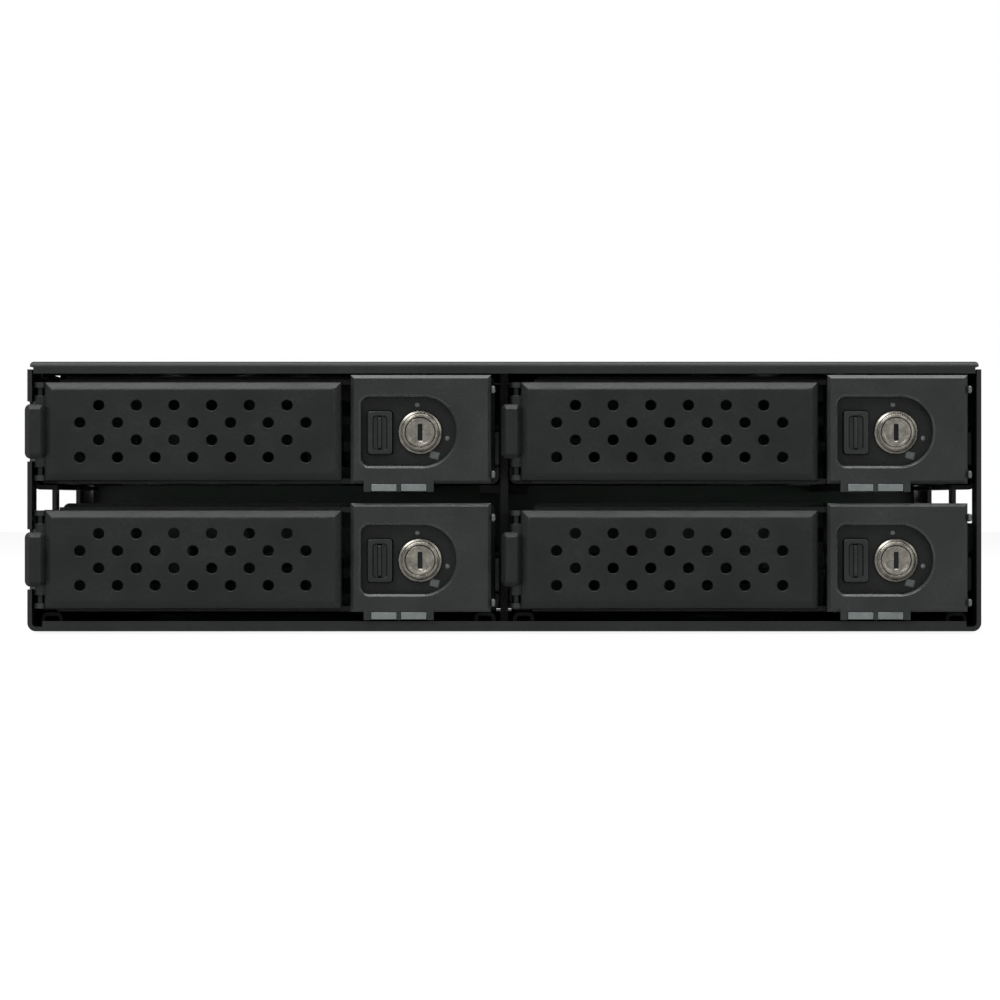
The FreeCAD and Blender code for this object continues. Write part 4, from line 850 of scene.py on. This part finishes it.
# Wall of the lock's ring, front to back and round to the bore: radius, and depth behind its front.
RING_WALL = ((2.33, 7.4), (2.33, 0.06), (2.39, 0.0), (2.62, 0.0), (2.7, 0.06), (2.74, 0.16), (2.9, 0.24),
             (2.95, 0.32), (2.95, 0.46), (3.02, 0.52), (3.26, 0.6), (3.36, 0.68), (3.4, 0.82), (3.4, 1.5),
             (3.0, 1.5), (3.0, 7.4), (2.33, 7.4))
# Mouth of the keyway from the inside out: share of its outline, and depth behind the plug's face.
KEYWAY_MOUTH = ((0.96, 2.0), (1.0, 0.26), (1.06, 0.2))
# Plug from the keyway's mouth to its tail: radius, and depth behind its face.
PLUG_SIDE = ((1.5, 0.14), (1.85, 0.07), (1.98, 0.01), (2.12, 0.0), (2.24, 0.06), (2.3, 0.2), (2.3, 7.25),
             (1.2, 7.25), (1.2, 8.15))
# Rolled edge of the push pad, and the dish in its face: how far drawn in, and depth behind its front.
PAD_EDGE = ((0.0, 0.2), (0.03, 0.08), (0.1, 0.02), (0.2, 0.0))
DISH_SIDE = ((-0.12, 0.0), (-0.04, 0.03), (0.0, 0.1), (0.04, 0.45), (0.12, 0.56), (0.24, 0.6))
# Dome of a key mark: share of its radius, and height in front of the recess's floor.
MARK_DOME = ((1.0, -0.05), (1.0, 0.06), (0.7, 0.14), (0.2, 0.17))
# Heights of the lozenge's foot, edge and top in front of the recess's floor.
LOZENGE_HEIGHTS = (-0.05, 0.04, 0.14)


@dataclass
class Latch:
    """Push button, cam lock and key position marks of one tray's housing.

    All sizes are millimetres about the bay. The pad's and stem's depths are places along Y.
    """

    bay: str
    lock_x: float = 23.55
    lock_z: float = 7.85
    recess: float = -68.6
    lock_front: float = -70.1
    lock_steps: int = 72
    plug_back: float = 0.15
    plug_steps: int = 48
    key_half_wide: float = 0.35
    key_half_high: float = 1.3
    cam_half: float = 1.2
    cam_reach: float = 3.6
    cam_corner: float = 0.6
    cam_start: float = 7.45
    cam_thick: float = 0.8
    wafers_in_lock: int = 4
    wafer_start: float = 0.55
    wafer_pitch: float = 0.4
    wafer_thick: float = 0.3
    wafer_gap: float = 0.01
    wafer_short: float = 0.03
    wafer_edge: float = 0.04
    pad_left: float = 15.5
    pad_right: float = 19.3
    pad_low: float = 4.5
    pad_high: float = 11.1
    pad_proud: float = 1.5
    pad_back: float = -64.7
    pad_corner: float = 0.5
    dish_left: float = 16.3
    dish_right: float = 18.5
    dish_low: float = 5.2
    dish_high: float = 10.4
    grip_left: float = 17.0
    grip_right: float = 17.7
    grip_low: float = 5.35
    grip_high: float = 10.25
    grip_front: float = 0.04
    grip_back: float = 0.7
    grip_edge: float = 0.3
    flange_left: float = 15.05
    flange_low: float = 3.7
    flange_high: float = 11.9
    flange_behind: float = 1.25
    flange_thick: float = 0.8
    flange_edge: float = 0.1
    flange_corner: float = 0.4
    stem_left: float = 16.3
    stem_right: float = 18.5
    stem_front: float = -67.4
    stem_end: float = -62.65
    stem_nose: float = 0.4
    stem_low: float = 6.7
    stem_high: float = 9.5
    press: float = 1.6
    shift: float = 1.2
    dots: Tuple[Tuple[float, float], ...] = ((23.1, 12.1), (27.75, 6.95))
    dot_radius: float = 0.36
    dot_steps: int = 16
    lozenge_x: float = 25.75
    lozenge_z: float = 4.35
    lozenge_across: Tuple[float, float] = (0.8, 0.35)
    lozenge_along: Tuple[float, float] = (0.55, -0.75)
    lozenge_top: float = 0.7
    tab_left: float = 34.48
    tab_right: float = 35.08
    tab_lows: Tuple[float, float] = (0.82, 13.82)
    tab_tall: float = 1.16
    tab_front: float = 0.08
    tab_back: float = 0.8
    tab_edge: float = 0.28

    def build(self) -> List[bpy.types.Object]:
        """Build every piece of the latch.

        Returns:
            The pieces.
        """
        return [self.barrel(), self.plug(), self.wafers(), self.button(), self.marks(), self.tips()]

    def finished(self, shell: Shell, name: str, node: str, slot: str, finish: Finish,
                 smooth: float = SMOOTH_MOULDED) -> bpy.types.Object:
        """Make a piece of the latch that rides with one of its nodes.

        Args:
            shell: the piece's faces.
            name: the piece's name without its bay.
            node: the node's name without its bay.
            slot: the record's material slot.
            finish: its finish.
            smooth: greatest edge angle that is still shaded smooth, in degrees.

        Returns:
            The new piece.
        """
        body = frame["nodes"][node + self.bay]["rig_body"]
        return shell.piece(name + self.bay, body, slot, finish, bay_place(self.bay), smooth)

    def barrel(self) -> bpy.types.Object:
        """Stepped ring of the cam lock: a turned profile with rolled edges between its steps.

        Returns:
            The ring.
        """
        shell = Shell.empty()
        shell.turn([(radius, self.lock_front + depth) for radius, depth in RING_WALL],
                   (self.lock_x, self.lock_z), self.lock_steps, capped=False)
        piece = self.finished(shell, "lock_ring_", "lock_barrel_", "lock_metal", BRIGHT_NICKEL, SMOOTH_TURNED)
        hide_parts("lock_barrel_" + self.bay)
        return piece

    def plug(self) -> bpy.types.Object:
        """Turning plug: its face runs from a keyway's outline to a circle, ring by ring.

        Formula: at equal steps of angle a ring is the lock's middle plus a share of the keyway's outline, or
        plus radius (cos a, sin a); then the cam behind.

        Returns:
            The plug.
        """
        front = self.lock_front + self.plug_back
        centre = np.array([self.lock_x, self.lock_z])
        angle = (np.arange(self.plug_steps) + 0.5) * 2 * np.pi / self.plug_steps
        way = np.stack([np.cos(angle), np.sin(angle)], axis=1)
        half = np.array([self.key_half_wide, self.key_half_high])
        key = way * np.min(half / np.maximum(np.abs(way), 1e-6), axis=1)[:, None]
        rings = [centre + key * share for share, _ in KEYWAY_MOUTH]
        rings += [centre + way * radius for radius, _ in PLUG_SIDE]
        shell = Shell.empty()
        shell.carry(rings, [front + depth for _, depth in KEYWAY_MOUTH + PLUG_SIDE])
        cam = rounded_ring(centre - self.cam_half, centre + (self.cam_half, self.cam_reach), self.cam_corner)
        start = self.lock_front + self.cam_start
        shell.carry([cam, cam], [start, start + self.cam_thick])
        piece = self.finished(shell, "lock_key_plug_", "lock_plug_", "plug_metal", BRIGHT_NICKEL,
                              SMOOTH_TURNED)
        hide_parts("lock_plug_" + self.bay)
        return piece

    def wafers(self) -> bpy.types.Object:
        """Dark wafers inside the keyway: a stack of thin blocks with gaps between them.

        Returns:
            The wafers.
        """
        shell = Shell.empty()
        wide, high = self.key_half_wide - self.wafer_gap, self.key_half_high - self.wafer_short
        for step in range(self.wafers_in_lock):
            start = self.lock_front + self.wafer_start + self.wafer_pitch * step
            shell.block((self.lock_x - wide, start, self.lock_z - high),
                        (self.lock_x + wide, start + self.wafer_thick, self.lock_z + high), self.wafer_edge)
        return self.finished(shell, "lock_wafers_", "lock_plug_", "plug_metal", SPRING_STEEL)

    def button(self) -> bpy.types.Object:
        """Push pad with a dished face, a finger rib, a flange that keeps it in and a ramped stem.

        Formula: the pad's rings are drawn in round its edge, then sunk towards the middle of the dish; the
        ramp rises by the pad's travel over the catch's.

        Returns:
            The push pad.
        """
        front = self.recess - self.pad_proud
        low, high = (self.pad_left, self.pad_low), (self.pad_right, self.pad_high)
        dish_low, dish_high = (self.dish_left, self.dish_low), (self.dish_right, self.dish_high)
        rings = [rounded_ring(low, high, self.pad_corner, inset) for inset, _ in ((0.0, 0.0),) + PAD_EDGE]
        rings += [rounded_ring(dish_low, dish_high, self.pad_corner, inset) for inset, _ in DISH_SIDE]
        shell = Shell.empty()
        shell.carry(rings, [self.pad_back] + [front + depth for _, depth in PAD_EDGE + DISH_SIDE])
        shell.block((self.grip_left, front + self.grip_front, self.grip_low),
                    (self.grip_right, front + self.grip_back, self.grip_high), self.grip_edge)
        flange = self.recess + self.flange_behind
        shell.block((self.flange_left, flange, self.flange_low),
                    (self.pad_right, flange + self.flange_thick, self.flange_high), self.flange_edge,
                    self.flange_corner)
        rise = (self.stem_right - self.stem_left - self.stem_nose) * self.press / self.shift
        ramp = np.array([[self.stem_left, self.stem_front], [self.stem_right, self.stem_front],
                         [self.stem_right, self.stem_end - rise],
                         [self.stem_left + self.stem_nose, self.stem_end], [self.stem_left, self.stem_end]])
        shell.carry([ramp, ramp], [self.stem_low, self.stem_high], Facing.UP)
        piece = self.finished(shell, "push_pad_", "latch_button_", "button_plastic", BUTTON_ABS)
        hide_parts("latch_button_" + self.bay)
        return piece

    def marks(self) -> bpy.types.Object:
        """Raised key positions: two small domes and a flat-topped lozenge beside the lock; the lozenge's pale
        colour is also painted highlight.

        Returns:
            The marks.
        """
        shell = Shell.empty()
        dome = [(self.dot_radius * share, self.recess - height) for share, height in MARK_DOME]
        for dot in self.dots:
            shell.turn(dome, dot, self.dot_steps)
        middle = np.array([self.lozenge_x, self.lozenge_z])
        across, along = np.array(self.lozenge_across), np.array(self.lozenge_along)
        corners = np.array([middle + across, middle + along, middle - across, middle - along])
        top = middle + (corners - middle) * self.lozenge_top
        shell.carry([corners, corners, top], [self.recess - height for height in LOZENGE_HEIGHTS])
        # The dots are pale ink; the lozenge's pale colour is also painted highlight.
        return self.finished(shell, "key_marks_", "tray_bezel_", "front_plastic", PALE_INK_AND_HIGHLIGHT)

    def tips(self) -> bpy.types.Object:
        """Rounded tips on the two guide tabs at the right of the housing, coloured pale as a painted
        highlight.

        Returns:
            The tips.
        """
        shell = Shell.empty()
        for low in self.tab_lows:
            shell.block((self.tab_left, FACE + self.tab_front, low),
                        (self.tab_right, FACE + self.tab_back, low + self.tab_tall), self.tab_edge)
        # The tips' pale colour is painted highlight.
        return self.finished(shell, "tab_tips_", "tray_bezel_", "front_plastic", TAB_TIP_HIGHLIGHT_ABS)


# ------------------------------------------------------------------ the studio
# Strength at which a background looks white, and how much of the floor's look is that white.
WHITE = 1.0
SOFT_SKY = 0.45
FLOOR_WHITE = 0.88


@dataclass(frozen=True)
class Softbox:
    """A soft rectangular lamp.

    Args:
        name: the lamp's name.
        place: where it stands, in metres.
        size: width and height, in metres.
        energy: watts.
    """

    name: str
    place: Tuple[float, float, float]
    size: Tuple[float, float]
    energy: float

    def build(self, aim: Sequence[float]) -> None:
        """Make the lamp and turn it to what it lights.

        Args:
            aim: where it points, in metres.
        """
        data = bpy.data.lights.new(self.name, "AREA")
        data.shape = "RECTANGLE"
        data.size, data.size_y = self.size
        data.energy = self.energy
        light = bpy.data.objects.new(self.name, data)
        away = np.array(self.place) - np.array(aim)
        light.location = self.place
        light.rotation_euler = (math.atan2(math.hypot(away[0], away[1]), away[2]), 0.0,
                                math.atan2(away[1], away[0]) + math.pi / 2)
        bpy.context.scene.collection.objects.link(light)


SOFTBOXES = (
    Softbox("key_softbox", (-0.8, -1.2, 1.25), (0.9, 0.7), 22.0),
    Softbox("fill_softbox", (1.2, -1.1, 0.7), (0.9, 0.9), 6.0),
    Softbox("top_softbox", (0.0, -0.3, 1.3), (1.3, 0.85), 27.0),
)


@dataclass
class Studio:
    """Camera, pale floor, backdrop light and soft lamps, in metres."""

    distance: float = 0.80
    focal_mm: float = 188.4
    sensor_mm: float = 36.0
    near_clip: float = 0.01
    eye_x: float = -0.00066
    eye_z: float = 0.0201
    front_y: float = -0.071
    aim: Tuple[float, float, float] = (0.0, -0.05, 0.02)
    floor_half: float = 2.5
    floor_drop: float = 0.0004

    def camera(self) -> None:
        """Set the camera square to the front, just above the middle of the cage's height."""
        data = bpy.data.cameras.new("front_camera")
        data.sensor_width = self.sensor_mm
        data.lens = self.focal_mm
        data.clip_start = self.near_clip
        eye = bpy.data.objects.new("front_camera", data)
        eye.location = (self.eye_x, self.front_y - self.distance, self.eye_z)
        eye.rotation_euler = (math.pi / 2, 0.0, 0.0)
        bpy.context.scene.collection.objects.link(eye)
        bpy.context.scene.camera = eye

    def white(self, tree: bpy.types.NodeTree) -> bpy.types.NodeSocket:
        """One where the camera, a gloss or clear plastic looks at the background, else zero.

        Args:
            tree: the tree of a background material or of the world.

        Returns:
            The socket.
        """
        path = add(tree, "ShaderNodeLightPath").outputs
        seen = add(tree, "ShaderNodeMath", {}, {0: path["Is Camera Ray"], 1: path["Is Glossy Ray"]},
                   operation="MAXIMUM")
        both = add(tree, "ShaderNodeMath", {}, {0: seen.outputs[0], 1: path["Is Transmission Ray"]},
                   operation="MAXIMUM")
        return both.outputs[0]

    def world(self) -> None:
        """A world that looks white and lights softly."""
        world = bpy.data.worlds.new("studio")
        bpy.context.scene.world = world
        tree = empty_tree(world)
        soft = add(tree, "ShaderNodeBackground", {"Color": linear("ffffff"), "Strength": SOFT_SKY})
        bright = add(tree, "ShaderNodeBackground", {"Color": linear("ffffff"), "Strength": WHITE})
        blend = add(tree, "ShaderNodeMixShader", {},
                    {0: self.white(tree), 1: soft.outputs[0], 2: bright.outputs[0]})
        add(tree, "ShaderNodeOutputWorld", {}, {"Surface": blend.outputs[0]})

    def floor(self) -> None:
        """A pale floor that looks white and keeps the shadow."""
        half, low = self.floor_half, -self.floor_drop
        mesh = bpy.data.meshes.new("floor")
        mesh.from_pydata([(-half, -half, low), (half, -half, low), (half, half, low), (-half, half, low)],
                         [], [(0, 1, 2, 3)])
        floor = bpy.data.objects.new("floor", mesh)
        bpy.context.scene.collection.objects.link(floor)
        material = bpy.data.materials.new("pale_floor")
        tree = empty_tree(material)
        matt = add(tree, "ShaderNodeBsdfDiffuse", {"Color": linear("f6f6f6")})
        glow = add(tree, "ShaderNodeEmission", {"Color": linear("ffffff"), "Strength": WHITE})
        share = add(tree, "ShaderNodeMath", {1: FLOOR_WHITE}, {0: self.white(tree)}, operation="MULTIPLY")
        blend = add(tree, "ShaderNodeMixShader", {},
                    {0: share.outputs[0], 1: matt.outputs[0], 2: glow.outputs[0]})
        add(tree, "ShaderNodeOutputMaterial", {}, {"Surface": blend.outputs[0]})
        mesh.materials.append(material)

    def build(self) -> None:
        """Set up the whole studio."""
        self.camera()
        self.world()
        self.floor()
        for softbox in SOFTBOXES:
            softbox.build(self.aim)
        bpy.context.scene.view_settings.view_transform = "Standard"


# ------------------------------------------------------------------ the whole cage
# Width of the rolled edge on each kind of sheet or moulding, in millimetres.
SOFT_EDGES: Dict[str, float] = {
    "chassis": 0.1,
    "top_cover": 0.14,
    "rear_panel": 0.1,
    "centre_wall": 0.1,
    "floor_rails": 0.08,
    "drive_sockets": 0.12,
    "data_ports": 0.1,
    "power_inlets": 0.1,
    "fan_frame_left": 0.15,
    "fan_frame_right": 0.15,
    "fan_rotor_left": 0.0,
    "fan_rotor_right": 0.0,
}
BAY_EDGES: Dict[str, float] = {
    "tray_bezel_": 0.14,
    "tray_frame_": 0.08,
    "light_pipes_": 0.1,
    "lever_pin_": 0.05,
    "latch_catch_": 0.06,
}
# Corners of the space that holds the mouth of the recess, whose faces get the painted highlight, in
# millimetres about the bay.
MOUTH_LOW = (14.0, FACE + 0.05, 2.2)
MOUTH_HIGH = (29.6, FACE + 0.34, 13.8)
# What lies further behind the face than this gets painted shade: the levers' darker, less glossy plastic.
FACE_DEPTH = 0.7
# Places of the painted shade and the painted highlight in a housing's list of finishes.
PAINTED_SHADE, PAINTED_HIGHLIGHT = 1, 2


def paint_housing_shade_and_highlight(bezel: bpy.types.Object, bay: str) -> None:
    """Vary the housing's plastic from place to place.

    Painted shade, the levers' darker plastic, goes to all that lies behind its face, the recess and its
    hollows, and to the lamp apron; painted highlight, a lighter plastic, goes to the chamfer round the mouth
    of the recess.

    Args:
        bezel: the housing's piece.
        bay: the bay's name.
    """
    place = bay_place(bay)
    low, high = (place + MOUTH_LOW) * MM, (place + MOUTH_HIGH) * MM
    # The levers' darker plastic serves as painted shade, and the lighter mouth plastic as painted highlight.
    bezel.data.materials.append(FRONT_ABS.make())
    bezel.data.materials.append(MOUTH_HIGHLIGHT_ABS.make())
    for face in bezel.data.polygons:
        centre = np.array(face.center)
        if np.all(centre > low) and np.all(centre < high):
            # Painted highlight: the mouth's chamfer is coloured lighter.
            face.material_index = PAINTED_HIGHLIGHT
        elif centre[1] > (FACE + FACE_DEPTH) * MM or centre[2] < place[2] * MM:
            # Painted shade: what lies behind the face, and the lamp apron, are coloured darker.
            face.material_index = PAINTED_SHADE


def bay_pieces(bay: str) -> List[bpy.types.Object]:
    """Build everything of one bay that is finer than its solids.

    Args:
        bay: the bay's name.

    Returns:
        The pieces.
    """
    pieces = [Lever(bay).build()] + Latch(bay).build()
    for kind, width in BAY_EDGES.items():
        node = kind + bay
        if kind == "tray_bezel_":
            pieces.append(softened(node, width, HOUSING_ABS))
            paint_housing_shade_and_highlight(pieces[-1], bay)
        else:
            pieces.append(softened(node, width, plain_finish(node)))
    return pieces


def main() -> None:
    """Build the cage's looks in order and report each piece."""
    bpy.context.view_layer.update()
    Studio().build()
    for name, node in frame["nodes"].items():
        dress(node, plain_finish(name))
    for bay in BAYS:
        for piece in bay_pieces(bay):
            LOG.info("%s: %d faces", piece.name, len(piece.data.polygons))
    for node, width in SOFT_EDGES.items():
        piece = softened(node, width, plain_finish(node))
        LOG.info("%s: %d faces", piece.name, len(piece.data.polygons))


if __name__ == "__main__":
    main()
